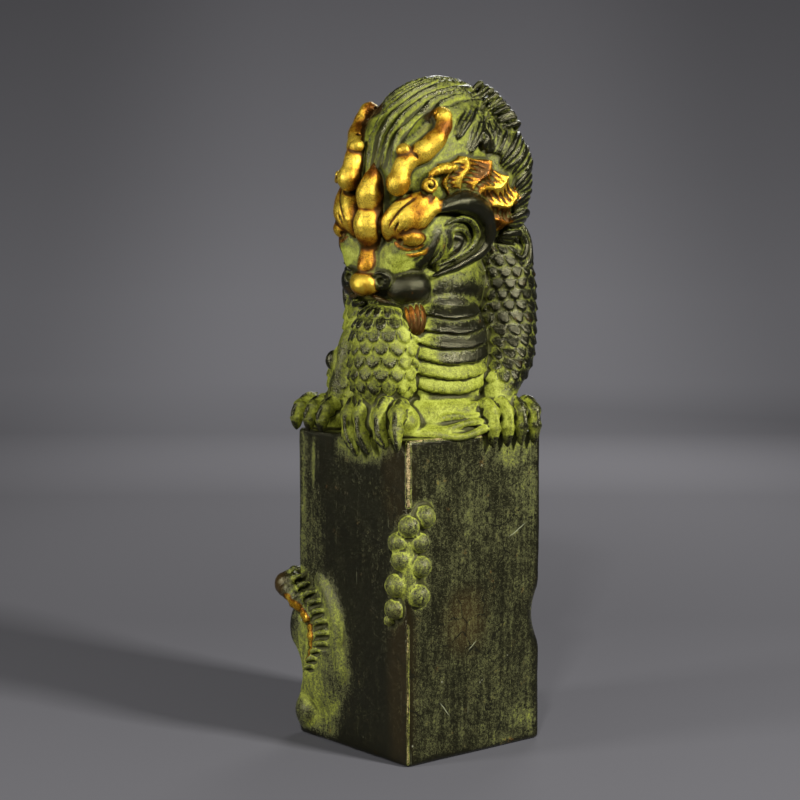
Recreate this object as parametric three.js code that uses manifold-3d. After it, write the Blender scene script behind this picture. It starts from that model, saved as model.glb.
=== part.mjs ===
// A cast copper qilin sitting on a square seal block, in millimetres.
// +Z is up, the chest faces -Y and the origin is the middle of the block's underside.
// The whole work is one casting, so it is one solid: balls and bent limbs joined together.
import * as THREE from "three";
import { mergeVertices } from "three/addons/utils/BufferGeometryUtils.js";
import Module from "manifold-3d";

const wasm = await Module();
wasm.setup();

// Driving dimensions.
const BLOCK_SIDE = 38;
const BLOCK_HEIGHT = 68.5;
const EDGE_ROUND = 1.2;
const END_BEVEL = 0.5;
const HALF = BLOCK_SIDE / 2;

// The head looks over the right shoulder. Its own frame has +X to its right, +Y forward and +Z up.
const HEAD_CENTRE = [-1, -2, BLOCK_HEIGHT + 51.5];
const HEAD_TURN = 77;
const HEAD_NOD = 4;
const HEAD_ROLL = 6;

const radians = (degrees) => (degrees * Math.PI) / 180;
const vector = (point) => new THREE.Vector3(...point);
const curveThrough = (points) =>
  new THREE.CatmullRomCurve3(points.map(vector), false, "centripetal");

// The horizontal direction at a bearing: 0 is -Y, 90 is +X.
const facing = (bearing) => [Math.sin(radians(bearing)), -Math.cos(radians(bearing))];

// Count numbers spread evenly from first to last.
function spread(first, last, count) {
  return Array.from({ length: count }, (_, i) => first + ((last - first) * i) / (count - 1));
}

// The value at a share of the way along a list of numbers.
function along(values, share) {
  const place = share * (values.length - 1);
  const i = Math.min(Math.floor(place), values.length - 2);
  return values[i] + (values[i + 1] - values[i]) * (place - i);
}

// The frames that shapes are placed in: the block's own, the middle of its top, and the head's.
const ON_BLOCK = new THREE.Matrix4();
const ON_TOP = new THREE.Matrix4().makeTranslation(0, 0, BLOCK_HEIGHT);
const ON_HEAD = new THREE.Matrix4()
  .makeTranslation(...HEAD_CENTRE)
  .multiply(new THREE.Matrix4().makeRotationZ(radians(180 - HEAD_TURN)))
  .multiply(new THREE.Matrix4().makeRotationX(radians(-HEAD_NOD)))
  .multiply(new THREE.Matrix4().makeRotationY(radians(-HEAD_ROLL)));
// The same, lying on its back, so that a ball's poles are at the brow and the nape.
const ON_LYING_HEAD = ON_HEAD.clone().multiply(new THREE.Matrix4().makeRotationX(radians(-90)));

const joined = [];

// Adds a closed three.js geometry, placed in a frame, to the solids that are joined.
function join(geometry, frame) {
  const bare = geometry.clone().applyMatrix4(frame);
  bare.deleteAttribute("normal");
  bare.deleteAttribute("uv");
  const merged = mergeVertices(bare, 1e-4);
  const mesh = new wasm.Mesh({
    numProp: 3,
    vertProperties: merged.attributes.position.array,
    triVerts: merged.index.array,
  });
  joined.push(new wasm.Manifold(mesh));
}

// A sphere of rings and sides whose every vertex is put in its own place.
function shapedSphere(frame, rings, sides, placeOf) {
  const shape = new THREE.SphereGeometry(1, sides, rings);
  const { position } = shape.attributes;
  for (let ring = 0; ring <= rings; ring += 1) {
    for (let step = 0; step <= sides; step += 1) {
      const side = ring % rings === 0 ? 0 : step % sides;
      position.setXYZ(ring * (sides + 1) + step, ...placeOf(ring, side).toArray());
    }
  }
  join(shape, frame);
}

// An ellipsoid. The bearings of its sides and the heights of its rings can be chosen, the heights
// as shares of its radius, and relief(ring, side) lifts single vertices off it, in millimetres.
function ball(frame, { centre, radii, detail = [10, 7], bearings, heights, relief = () => 0 }) {
  const [sides, rings] = detail;
  const sideBearings = bearings ?? spread(0, 360, sides + 1).slice(0, -1);
  const ringHeights = heights ?? spread(0, Math.PI, rings + 1).map(Math.cos);
  shapedSphere(frame, ringHeights.length - 1, sideBearings.length, (ring, side) => {
    const up = ringHeights[ring];
    const around = Math.sqrt(Math.max(0, 1 - up * up));
    const [east, north] = facing(sideBearings[side]);
    const round = new THREE.Vector3(east * around, north * around, up);
    const normal = round.clone().divide(vector(radii)).normalize();
    const lifted = vector(centre).add(round.multiply(vector(radii)));
    return lifted.addScaledVector(normal, relief(ring, side));
  });
}

// A round-ended limb along a smooth curve, with its own radius at each point.
// Its angles are counted from the direction `out`, and relief(ring, side) changes the radius.
function limb(frame, { points, radii, detail = [7, 5], out, angles, shares, relief = () => 0 }) {
  const [sides, rings] = detail;
  const sideAngles = angles ?? spread(0, 360, sides + 1).slice(0, -1);
  const ringShares = shares ?? spread(0, 1, rings + 1);
  const curve = curveThrough(points);
  const frenet = curve.computeFrenetFrames(1, false);
  const start = out ? vector(out) : frenet.normals[0];
  shapedSphere(frame, ringShares.length - 1, sideAngles.length, (ring, side) => {
    const share = ringShares[ring];
    const end = Math.sqrt(1 - Math.abs(2 * share - 1) ** 4);
    const radius = (along(radii, share) + relief(ring, side)) * end;
    const tangent = curve.getTangent(share);
    const thick = start.clone().addScaledVector(tangent, -start.dot(tangent)).normalize();
    const wide = new THREE.Vector3().crossVectors(tangent, thick);
    const angle = radians(sideAngles[side]);
    return curve
      .getPoint(share)
      .addScaledVector(thick, Math.cos(angle) * radius)
      .addScaledVector(wide, -Math.sin(angle) * radius);
  });
}

// Rings for rows that overlap like roof tiles: each row starts tucked under the one above it.
const TUCK = 0.2;
function tiledRings(first, last, rows) {
  const pitch = (last - first) / rows;
  return spread(0, rows - 1, rows).flatMap((row) => [
    first + (row + TUCK) * pitch,
    first + (row + 1) * pitch,
  ]);
}

// The relief of staggered tiles: scales on the body, tufts in the mane.
const tiles = (height) => (ring, side) => {
  const row = Math.floor((ring - 1) / 2);
  const atFoot = ring % 2 === 0;
  const atMiddle = (row + side) % 2 === 0;
  if (!atFoot) {
    return -0.3 * height;
  }
  return atMiddle ? height : -0.2 * height;
};

// The seal block: a square prism with rounded upright edges and worn ends.
function sealBlock() {
  const outline = new THREE.Shape();
  const flat = HALF - EDGE_ROUND;
  outline.absarc(flat, flat, EDGE_ROUND, 0, Math.PI / 2);
  outline.absarc(-flat, flat, EDGE_ROUND, Math.PI / 2, Math.PI);
  outline.absarc(-flat, -flat, EDGE_ROUND, Math.PI, 1.5 * Math.PI);
  outline.absarc(flat, -flat, EDGE_ROUND, 1.5 * Math.PI, 2 * Math.PI);
  const prism = new THREE.ExtrudeGeometry(outline, {
    depth: BLOCK_HEIGHT - 2 * END_BEVEL,
    curveSegments: 2,
    bevelThickness: END_BEVEL,
    bevelSize: END_BEVEL,
    bevelOffset: -END_BEVEL,
    bevelSegments: 1,
  });
  prism.translate(0, 0, END_BEVEL);
  join(prism, ON_BLOCK);
}

// The bunch of round bosses over the block's front edge. Each row is [x, y, z, radius].
const BOSSES = [
  [-15.6, -19.4, 52.0, 2.4],
  [-19.2, -17.8, 50.3, 2.3],
  [-19.4, -15.3, 46.7, 2.5],
  [-17.0, -19.4, 47.1, 2.1],
  [-19.2, -17.4, 43.3, 2.4],
  [-15.5, -19.4, 41.6, 2.3],
  [-19.4, -14.9, 37.7, 2.7],
  [-17.7, -19.5, 35.2, 2.4],
  [-19.4, -14.3, 32.9, 2.3],
  [-19.4, -12.7, 30.4, 1.1],
];
const BOSS_STEM = {
  points: [[-15, -18.4, 53.5], [-18.2, -17.6, 46], [-17.6, -17.4, 38], [-18.4, -14, 30.5]],
  radii: [2.2, 3, 3.3, 1.6],
  detail: [6, 5],
};

function bunchOfBosses() {
  limb(ON_BLOCK, BOSS_STEM);
  for (const [x, y, z, radius] of BOSSES) {
    ball(ON_BLOCK, { centre: [x, y, z], radii: [radius, radius, radius], detail: [6, 4] });
  }
}

// The rocky ledge carved round the block's left rear edge.
const LEDGE = {
  points: [
    [-16, 22.5, 36],
    [-20.5, 20.5, 33.5],
    [-20.2, 16, 30],
    [-19.7, 12.6, 26],
    [-19.6, 12, 20],
    [-19.3, 14.5, 16],
  ],
  radii: [2.2, 3.0, 2.2, 1.5, 1.4, 1.0],
  detail: [6, 11],
};

function ledge() {
  limb(ON_BLOCK, LEDGE);
}

// The plates across the throat and chest dip in the middle and overlap downward.
const CHEST = { centre: [-1, -6, 17], radii: [12.5, 11, 17] };
const PLATES = { count: 8, top: 0.72, foot: -0.78, bearing: -10, reach: 42, dip: 1.5, lip: 0.9 };
const CHEST_BEARINGS = [-52, -38, -24, -10, 4, 18, 32, 70, 120, 180, 245];

function chest() {
  const heights = [1, ...tiledRings(PLATES.top, PLATES.foot, PLATES.count), -1];
  const middling = (side) =>
    Math.max(0, 1 - ((CHEST_BEARINGS[side] - PLATES.bearing) / PLATES.reach) ** 2);
  const { centre, radii } = CHEST;
  shapedSphere(ON_TOP, heights.length - 1, CHEST_BEARINGS.length, (ring, side) => {
    const dip = (PLATES.dip * middling(side)) / radii[2];
    const up = ring % (heights.length - 1) === 0 ? heights[ring] : heights[ring] - dip;
    const around = Math.sqrt(1 - up * up);
    const lip = (ring % 2 === 0 ? PLATES.lip : -0.3 * PLATES.lip) * Math.sqrt(middling(side));
    const [east, north] = facing(CHEST_BEARINGS[side]);
    return new THREE.Vector3(
      centre[0] + (radii[0] + lip) * around * east,
      centre[1] + (radii[1] + lip) * around * north,
      centre[2] + radii[2] * up,
    );
  });
}

const RUMP = { centre: [0, 5, 7], radii: [15, 12, 10], detail: [9, 6] };
const FOOT = { centre: [-1, -7.5, 3], radii: [13.5, 10.5, 7] };
const NECK = { centre: [0, -2, 32], radii: [14, 12, 12], detail: [9, 6] };
const BACK = {
  centre: [1, 6, 22],
  radii: [14.5, 11, 18],
  bearings: [...spread(84, 252, 13), 290, 340, 40],
  heights: [1, ...tiledRings(0.7, -0.8, 5), -1],
  relief: tiles(0.8),
};

function trunk() {
  for (const part of [RUMP, FOOT, NECK, BACK]) {
    ball(ON_TOP, part);
  }
}

const ARM_ANGLES = [...spread(-102, 102, 13), 145, 180, 215];
const LEFT_ARM = {
  points: [
    [13.5, -4, 44],
    [17, -5.5, 35],
    [18.2, -6, 26],
    [16.5, -9, 17],
    [10.5, -13.5, 8.5],
    [10, -15, 2],
  ],
  radii: [9, 8.8, 8, 6.8, 4.8, 5],
  out: [0.62, -0.78, 0],
  angles: ARM_ANGLES,
  shares: [0, ...tiledRings(0.08, 0.8, 8), 1],
  relief: tiles(0.65),
};
const RIGHT_ARM = {
  points: [[-11.5, -3.5, 27], [-12.8, -5, 20], [-13.5, -5, 13], [-14, -5, 7], [-15.5, -6, 1]],
  radii: [5.5, 8, 7.6, 5.6, 5],
  out: [-0.62, -0.78, 0],
  angles: ARM_ANGLES,
  shares: [0, ...tiledRings(0.08, 0.84, 7), 1],
  relief: tiles(0.8),
};

function arms() {
  limb(ON_TOP, LEFT_ARM);
  limb(ON_TOP, RIGHT_ARM);
}

// Each paw is a low mound with toes, and each toe is a knuckle on the block's top and a claw that
// hangs over its edge.
const PAW_MOUNDS = [
  { centre: [10, -14.5, 3], radii: [8, 5, 5], detail: [8, 5] },
  { centre: [-15, -7, 3], radii: [5, 9.5, 5], detail: [8, 5] },
  { centre: [-12.5, 13.4, 3], radii: [6.5, 6.4, 5], detail: [7, 5] },
  { centre: [13, 11.5, 3], radii: [6, 6, 4.5], detail: [7, 5] },
];
const TOE = { radii: [1.9, 2.3, 2.2, 1.6], detail: [6, 4] };
const LEFT_FORE_TOES = [3.5, 7.6, 11.6, 15.5].map((x) => [
  [x + 0.5, -14.5, 5.5],
  [x + 0.5, -18.3, 5.5],
  [x, -20.3, 2],
  [x - 0.5, -20.4, -2.8],
]);
const RIGHT_FORE_TOES = [
  [[-15, 1, 6], [-18.5, 0, 6], [-20.8, -1.5, 1], [-20.7, -5, -4.3]],
  [[-15, -4, 6.5], [-18.8, -4.5, 6.5], [-20.9, -6, 1], [-20.7, -9, -3.5]],
  [[-14.5, -9, 6.5], [-18.5, -10.5, 6.5], [-20.8, -12, 1.5], [-20.6, -14.5, -1.8]],
  [[-13, -12, 6], [-16.5, -15.5, 6], [-19.2, -18, 3], [-19.9, -19, 0]],
];
const hindToes = (side, places, drop) =>
  places.map((y) => [
    [side * 13, y + 1, 6],
    [side * 17.5, y, 5.5],
    [side * 19.8, y, 3],
    [side * 19.7, y, -drop],
  ]);
const RIGHT_HIND_TOES = hindToes(-1, [17.8, 13.2, 8.6], 0);
const LEFT_HIND_TOES = hindToes(1, [15, 8], 2);

function paws() {
  for (const mound of PAW_MOUNDS) {
    ball(ON_TOP, mound);
  }
  for (const points of [
    ...LEFT_FORE_TOES,
    ...RIGHT_FORE_TOES,
    ...RIGHT_HIND_TOES,
    ...LEFT_HIND_TOES,
  ]) {
    limb(ON_TOP, { points, ...TOE });
  }
}

// Folded hind legs, with the tuft that stands out at the right hock, and the tail up the back.
const HAUNCHES = [
  { centre: [-9.5, 8, 10], radii: [6.5, 8.5, 11], detail: [8, 6] },
  { centre: [12, 8, 10], radii: [6.5, 9, 11], detail: [7, 5] },
];
const RIGHT_SHIN = {
  points: [[-11, 7, 24], [-13.5, 7, 17], [-14, 8.5, 10], [-14, 10, 4]],
  radii: [3, 3, 3.2, 3.6],
};
const HOCK_TUFT = { centre: [-15.8, 9.8, 15], radii: [1.9, 1.9, 2.3], detail: [6, 4] };
const TAIL = {
  points: [[0, 15, 4], [4, 18, 9], [4, 18.5, 17], [-1, 18, 24], [-3, 18.5, 31], [0, 19, 36]],
  radii: [3, 3, 2.6, 3.2, 2.8, 1],
  detail: [6, 8],
};

function hindLegsAndTail() {
  for (const haunch of HAUNCHES) {
    ball(ON_TOP, haunch);
  }
  limb(ON_TOP, RIGHT_SHIN);
  ball(ON_TOP, HOCK_TUFT);
  limb(ON_TOP, TAIL);
}

// The crown is combed in locks from the brow over the top of the head.
const LOCKS = { count: 10, reach: 72, height: 0.75 };
const CROWN = {
  centre: [0, -6, -4.6],
  radii: [14, 18.3, 19.6],
  bearings: [...spread(-LOCKS.reach, LOCKS.reach, 2 * LOCKS.count + 1), 120, 180, 240],
  heights: [1, 0.93, 0.74, 0.46, 0.1, -0.3, -0.68, -1],
  relief: (ring, side) => (side > 2 * LOCKS.count || side % 2 === 0 ? -1 : 1) * LOCKS.height,
};
const MANE = {
  centre: [0, -11, 3.5],
  radii: [17.5, 13.3, 19],
  bearings: [...spread(-98, 98, 15), 140, 180, 220],
  heights: [1, ...tiledRings(0.86, -0.84, 5), -1],
  relief: tiles(1.3),
};

// The face down the middle of the head.
const FACE = [
  { centre: [0, -1.5, 2.5], radii: [14, 17.6, 15.5], detail: [9, 6] },
  { centre: [0, 8, -9], radii: [11, 8.5, 11], detail: [9, 6] },
  { centre: [0, 12, -17], radii: [7.5, 6.5, 5.6], detail: [9, 6] },
  { centre: [0, 10.5, -21], radii: [8, 6.5, 2.6], detail: [8, 4] },
  { centre: [0, 19, -18.2], radii: [3.2, 2.6, 2.6], detail: [8, 5] },
];
const BRIDGE = { points: [[0, 18.4, -16.5], [0, 17, -12], [0, 17, -8.5]], radii: [2.3, 2, 2.4] };
const BROW_RIDGE = {
  points: [
    [0, 16.6, -10],
    [0, 17.9, -6.4],
    [0, 17.8, -3],
    [0, 17.9, 0.5],
    [0, 17.4, 4.5],
    [0, 17.6, 8.5],
  ],
  radii: [1.8, 3.4, 2.7, 3.1, 2.2, 0.5],
  detail: [6, 7],
};

// What comes in pairs on the head, placed on its right side.
const PAIRED_BALLS = {
  nostril: { centre: [3.8, 17, -17.8], radii: [1.8, 1.9, 1.8], detail: [5, 4] },
  lip: { centre: [6.4, 13, -18.6], radii: [4.4, 4.8, 3.4], detail: [8, 5] },
  eye: { centre: [8.6, 14, -8.8], radii: [2.7, 2.8, 2.4], detail: [6, 4] },
  browCurl: { centre: [12.2, 11.6, 2.8], radii: [1.8, 1.8, 1.8], detail: [5, 4] },
  hornBulb: { centre: [7, 17, 3.4], radii: [2.8, 2.7, 3.2], detail: [7, 5] },
  hornKnob: { centre: [6.4, 14.8, 10], radii: [1.9, 1.8, 1.8], detail: [5, 4] },
  cheek: { centre: [8.5, 4, -7], radii: [5.8, 11.5, 10.5], detail: [8, 5] },
};
const PAIRED_LIMBS = {
  horn: {
    points: [[7, 16.6, 4.5], [7.2, 14.6, 7.6], [9, 11.4, 9.8], [10.8, 8.8, 13], [9.8, 7.4, 17.2]],
    radii: [2.9, 2.7, 2.5, 2.5, 1.9],
    detail: [6, 6],
  },
  upperFlame: {
    points: [[4.4, 16.8, -9], [5.6, 17, -4.6], [8.4, 15, -0.8], [11.4, 12.4, 2]],
    radii: [1.4, 2.3, 1.9, 1],
    detail: [5, 4],
  },
  middleFlame: {
    points: [[6, 16.4, -8.6], [8.4, 15.8, -4.2], [10.8, 13.4, -1.2], [12.4, 11.2, 1.6]],
    radii: [1.4, 2.3, 1.9, 1],
    detail: [5, 4],
  },
  lowerFlame: {
    points: [[8.8, 15.2, -7.4], [11, 13.6, -4.8], [12.6, 11.2, -2.6], [13.2, 9.8, 0.4]],
    radii: [1.4, 2, 1.6, 0.9],
    detail: [5, 4],
  },
  lowerLid: {
    points: [[4.6, 16.2, -9.8], [7.5, 16, -12], [11, 13.2, -11.4], [12.4, 10.6, -8.4]],
    radii: [0.9, 1.1, 1.1, 0.8],
    detail: [4, 4],
  },
};

// The whorl behind each cheek, and the ribbed fan that springs from it. Angles are counted in the
// plane of the head's side, from forward towards the crown.
const WHORL = { centre: [5, -8], out: 14.2 };
const WHORL_ARCS = [
  { reach: [9.2, 7.2], from: 38, to: 312, radii: [1.3, 2.1, 2.4, 2.3, 1], detail: [5, 9] },
  { reach: [5.2, 4.2], from: 50, to: 290, radii: [0.8, 1.2, 1.2, 0.8], detail: [4, 6] },
];
const FAN = { angles: [88, 108, 128, 148, 168], inner: 10, outer: 17, radii: [2.1, 2.8] };

function whorlPoint(angle, reach) {
  return [
    WHORL.out,
    WHORL.centre[0] + reach[0] * Math.cos(radians(angle)),
    WHORL.centre[1] + reach[1] * Math.sin(radians(angle)),
  ];
}

function whorlAndFan() {
  const arcs = WHORL_ARCS.map(({ reach, from, to, radii, detail }) => ({
    points: spread(from, to, 8).map((angle) => whorlPoint(angle, reach)),
    radii,
    detail,
  }));
  const ribs = FAN.angles.map((angle) => ({
    points: [FAN.inner, FAN.outer].map((radius) => whorlPoint(angle, [radius, radius])),
    radii: FAN.radii,
    detail: [5, 3],
  }));
  return [...arcs, ...ribs];
}

// Heavy locks of the mane over each temple, and the beard under the chin.
const MANE_LOCKS = [
  { points: [[13.5, 4, 15], [15.5, -3, 15.5], [16, -10, 11]], radii: [1.2, 2.2, 1.2], detail: [5, 4] },
  { points: [[15.5, 2, 10.5], [17, -6, 11], [17, -13, 6]], radii: [1.2, 2.2, 1.2], detail: [5, 4] },
];
const BEARD = { points: [[0, 9, -22], [0, 5.5, -26], [0, 3, -31]], radii: [3, 3.4, 0.9] };

function head() {
  ball(ON_LYING_HEAD, CROWN);
  ball(ON_HEAD, MANE);
  for (const part of FACE) {
    ball(ON_HEAD, part);
  }
  for (const part of [BRIDGE, BROW_RIDGE, BEARD]) {
    limb(ON_HEAD, part);
  }
  for (const side of [-1, 1]) {
    const place = ([x, y, z]) => [side * x, y, z];
    for (const part of Object.values(PAIRED_BALLS)) {
      ball(ON_HEAD, { ...part, centre: place(part.centre) });
    }
    for (const part of [...Object.values(PAIRED_LIMBS), ...whorlAndFan(), ...MANE_LOCKS]) {
      limb(ON_HEAD, { ...part, points: part.points.map(place) });
    }
  }
}

sealBlock();
bunchOfBosses();
ledge();
chest();
trunk();
arms();
paws();
hindLegsAndTail();
head();

// Joining leaves small hollows sealed inside. A casting is solid there, so only its skin is kept.
const skins = wasm.Manifold.union(joined).decompose();
const whole = skins.reduce((largest, skin) => (skin.volume() > largest.volume() ? skin : largest));
const mesh = whole.getMesh();
const geometry = new THREE.BufferGeometry();
geometry.setAttribute("position", new THREE.BufferAttribute(mesh.vertProperties, 3));
geometry.setIndex(new THREE.BufferAttribute(mesh.triVerts, 1));
geometry.computeVertexNormals();

const patinatedCopper = new THREE.MeshStandardMaterial({
  color: 0x3f4022,
  roughness: 0.55,
  metalness: 0.6,
});
const figure = new THREE.Mesh(geometry, patinatedCopper);
figure.name = "qilin_seal";
const group = new THREE.Group();
group.add(figure);

export default group;
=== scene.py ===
"""A cast copper qilin sitting on a square seal block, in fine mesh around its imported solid.

Three pieces stand for the one casting: the block, the body and the head. Each is a distance field
carved in its own frame, in millimetres, then skinned to a mesh and given one patinated bronze.
The block's frame is the part's own. The body's starts at the middle of the block's top. The head's
has +X to the beast's right, +Y forward and +Z up.
"""

import math

import bpy
import numpy as np
from mathutils import Matrix, Vector


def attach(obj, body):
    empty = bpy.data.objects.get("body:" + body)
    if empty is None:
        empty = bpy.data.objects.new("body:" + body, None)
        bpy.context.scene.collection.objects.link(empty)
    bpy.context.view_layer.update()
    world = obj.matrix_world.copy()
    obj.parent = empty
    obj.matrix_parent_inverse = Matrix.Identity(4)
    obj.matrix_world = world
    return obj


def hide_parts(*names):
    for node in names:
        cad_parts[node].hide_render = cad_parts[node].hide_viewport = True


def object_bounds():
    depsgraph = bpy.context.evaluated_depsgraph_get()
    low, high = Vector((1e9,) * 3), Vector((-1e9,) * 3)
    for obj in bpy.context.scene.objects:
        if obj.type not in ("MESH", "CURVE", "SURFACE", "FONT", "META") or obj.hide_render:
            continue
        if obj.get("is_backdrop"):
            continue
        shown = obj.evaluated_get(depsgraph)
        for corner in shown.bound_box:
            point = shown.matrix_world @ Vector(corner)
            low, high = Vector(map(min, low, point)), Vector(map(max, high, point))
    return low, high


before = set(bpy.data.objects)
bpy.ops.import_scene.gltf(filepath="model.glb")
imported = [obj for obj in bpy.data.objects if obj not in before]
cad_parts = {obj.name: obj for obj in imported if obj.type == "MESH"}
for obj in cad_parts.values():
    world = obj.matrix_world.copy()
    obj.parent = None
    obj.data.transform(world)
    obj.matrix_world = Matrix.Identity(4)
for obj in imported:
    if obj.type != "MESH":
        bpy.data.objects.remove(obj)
cad_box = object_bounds()

# Driving dimensions, in millimetres and degrees.
BLOCK_SIDE = 38.0
BLOCK_HEIGHT = 68.5
EDGE_ROUND = 0.9
HALF = BLOCK_SIDE / 2
HEAD_CENTRE = (-1.0, -2.0, BLOCK_HEIGHT + 51.5)
HEAD_TURN = 77
HEAD_NOD = 4
HEAD_ROLL = 6

# Fineness of each field, in millimetres, which COARSER makes coarser when it is above 1.
COARSER = 1.0
BLOCK_PITCH = 0.42 * COARSER
BODY_PITCH = 0.34 * COARSER
HEAD_PITCH = 0.28 * COARSER
MOST_TRIANGLES = 196000

# The distance that is given to points far from every shape, and how far round its box a shape
# still counts, in millimetres.
FAR = 6.0
MARGIN = 2.6


# Frames: a rotation and an origin.


def turned(axis, degrees):
    return np.array(Matrix.Rotation(math.radians(degrees), 3, axis))


ON_BLOCK = (np.eye(3), np.zeros(3))
ON_TOP = (np.eye(3), np.array([0, 0, BLOCK_HEIGHT]))
ON_HEAD = (
    turned("Z", 180 - HEAD_TURN) @ turned("X", -HEAD_NOD) @ turned("Y", -HEAD_ROLL),
    np.array(HEAD_CENTRE),
)


def to_part(points, placed):
    rotation, origin = placed
    return points @ rotation.T + origin


def from_part(points, placed):
    rotation, origin = placed
    return (points - origin) @ rotation


# Number helpers.


def fade(value, start, end):
    """From 0 at start to 1 at end, smoothly."""
    share = np.clip((value - start) / (end - start), 0, 1)
    return share * share * (3 - 2 * share)


def soft_min(a, b, blend):
    if blend <= 0:
        return np.minimum(a, b)
    near = np.maximum(blend - np.abs(a - b), 0) / blend
    return np.minimum(a, b) - near * near * blend / 4


def uneven(x, y, z, size):
    """A gentle wander between about -1 and 1, whose lumps are about size across."""
    k = 2 * math.pi / size
    return (
        np.sin(k * (0.83 * x + 0.41 * y - 0.27 * z) + 0.6)
        + np.sin(k * (-0.36 * x + 0.71 * y + 0.52 * z) + 2.1)
        + np.sin(k * (0.22 * x - 0.58 * y + 0.79 * z) + 4.4)
        + 0.5 * np.sin(2.3 * k * (0.5 * x + 0.5 * y + 0.6 * z) + 1.3)
    ) / 3.5


def smooth_path(points, per_span=6):
    """Points along the centripetal curve through some points."""
    p = np.array(points, float)
    held = np.vstack([2 * p[0] - p[1], p, 2 * p[-1] - p[-2]])
    rows = []
    for i in range(len(p) - 1):
        a, b, c, d = held[i : i + 4]
        t0, t1, t2 = (
            max(np.linalg.norm(q - r), 1e-6) ** 0.5 for q, r in ((a, b), (b, c), (c, d))
        )
        leave = ((b - a) / t0 - (c - a) / (t0 + t1) + (c - b) / t1) * t1
        arrive = ((c - b) / t1 - (d - b) / (t1 + t2) + (d - c) / t2) * t1
        t = np.linspace(0, 1, per_span, endpoint=False)[:, None]
        rows.append(
            (2 * t**3 - 3 * t**2 + 1) * b
            + (t**3 - 2 * t**2 + t) * leave
            + (3 * t**2 - 2 * t**3) * c
            + (t**3 - t**2) * arrive
        )
    rows.append(p[-1:])
    return np.vstack(rows)


# Shapes: the box a shape lies in, and the distance to its surface, negative inside.


class Shape:
    def __init__(self, low, high, distance):
        self.low = np.array(low, float)
        self.high = np.array(high, float)
        self.distance = distance


def ball(centre, radii, relief=None):
    """An ellipsoid. relief(px, py, pz) lifts its surface, given the place on a unit ball."""
    c = np.array(centre, np.float32)
    r = np.array(radii if np.ndim(radii) else (radii,) * 3, np.float32)

    def distance(x, y, z):
        px, py, pz = (x - c[0]) / r[0], (y - c[1]) / r[1], (z - c[2]) / r[2]
        k0 = np.sqrt(px * px + py * py + pz * pz)
        k1 = np.sqrt((px / r[0]) ** 2 + (py / r[1]) ** 2 + (pz / r[2]) ** 2)
        d = k0 * (k0 - 1) / np.maximum(k1, 1e-4)
        return d if relief is None else d - relief(px, py, pz)

    return Shape(c - r - 1, c + r + 1, distance)


def limb(points, radii, out=None, relief=None, ends=4):
    """A limb along a smooth curve, with its own radius at each point and rounded ends.
    relief(share, angle) lifts its surface; angle is counted in degrees from the direction out."""
    path = smooth_path(points).astype(np.float32)
    share = np.linspace(0, 1, len(path))
    thick = np.interp(share * (len(radii) - 1), np.arange(len(radii)), radii)
    if ends:
        thick = thick * np.sqrt(np.maximum(1 - np.abs(2 * share - 1) ** ends, 0.0025))
    thick = thick.astype(np.float32)

    def distance(x, y, z):
        best = None
        where = None
        for i in range(len(path) - 1):
            a, step = path[i], path[i + 1] - path[i]
            ox, oy, oz = x - a[0], y - a[1], z - a[2]
            t = np.clip((ox * step[0] + oy * step[1] + oz * step[2]) / (step @ step + 1e-9), 0, 1)
            d = np.sqrt((ox - t * step[0]) ** 2 + (oy - t * step[1]) ** 2 + (oz - t * step[2]) ** 2)
            d = d - (thick[i] + t * (thick[i + 1] - thick[i]))
            if best is None:
                best, where = d, i + t
            else:
                if relief is not None:
                    where = np.where(d < best, i + t, where)
                best = np.minimum(best, d)
        if relief is None:
            return best
        return best - lifted(x, y, z, where)

    def lifted(x, y, z, where):
        if out is None:
            return relief(where / (len(path) - 1), None)
        i = np.minimum(where.astype(int), len(path) - 2)
        t = where - i
        step = path[i + 1] - path[i]
        step = step / np.linalg.norm(step, axis=-1, keepdims=True)
        off = [v - (path[i][..., k] + t * (path[i + 1] - path[i])[..., k]) for k, v in enumerate((x, y, z))]
        front = np.array(out, np.float32)
        front = front / np.linalg.norm(front)
        lean = step @ front
        north = front - lean[..., None] * step
        north = north / np.linalg.norm(north, axis=-1, keepdims=True)
        east = np.cross(step, north)
        along_north = sum(off[k] * north[..., k] for k in range(3))
        along_east = sum(off[k] * east[..., k] for k in range(3))
        return relief(where / (len(path) - 1), np.degrees(np.arctan2(along_east, along_north)))

    widest = thick.max() + 1
    return Shape(path.min(0) - widest, path.max(0) + widest, distance)


def engraved(shape, height):
    """A shape whose surface is lifted by height(x, y, z)."""
    return Shape(shape.low, shape.high, lambda x, y, z: shape.distance(x, y, z) - height(x, y, z))


def lock(points, width, thickness, lift, heart):
    """A tapering lock of hair: three strands side by side on the surface round heart."""
    path = smooth_path(points, 4)
    share = np.linspace(0, 1, len(path))
    run = np.gradient(path, axis=0)
    outward = path - np.array(heart)
    outward /= np.linalg.norm(outward, axis=1)[:, None]
    across = np.cross(run, outward)
    across /= np.linalg.norm(across, axis=1)[:, None]
    spread = np.sin(np.pi * (0.12 + 0.85 * share)) ** 0.7
    path = path + outward * (lift * spread)[:, None]
    radii = [0.8 * thickness, thickness, 0.9 * thickness, 0.5 * thickness]
    tracks = [path + across * (width * place * spread)[:, None] for place in (-0.5, 0, 0.5)]
    return [limb(track[::2], radii, ends=6) for track in tracks]


def square_to(axis):
    """Two directions at right angles to an axis and to each other."""
    side = np.cross(axis, (0, 0, 1))
    side /= np.linalg.norm(side)
    return side, np.cross(side, axis)


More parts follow.
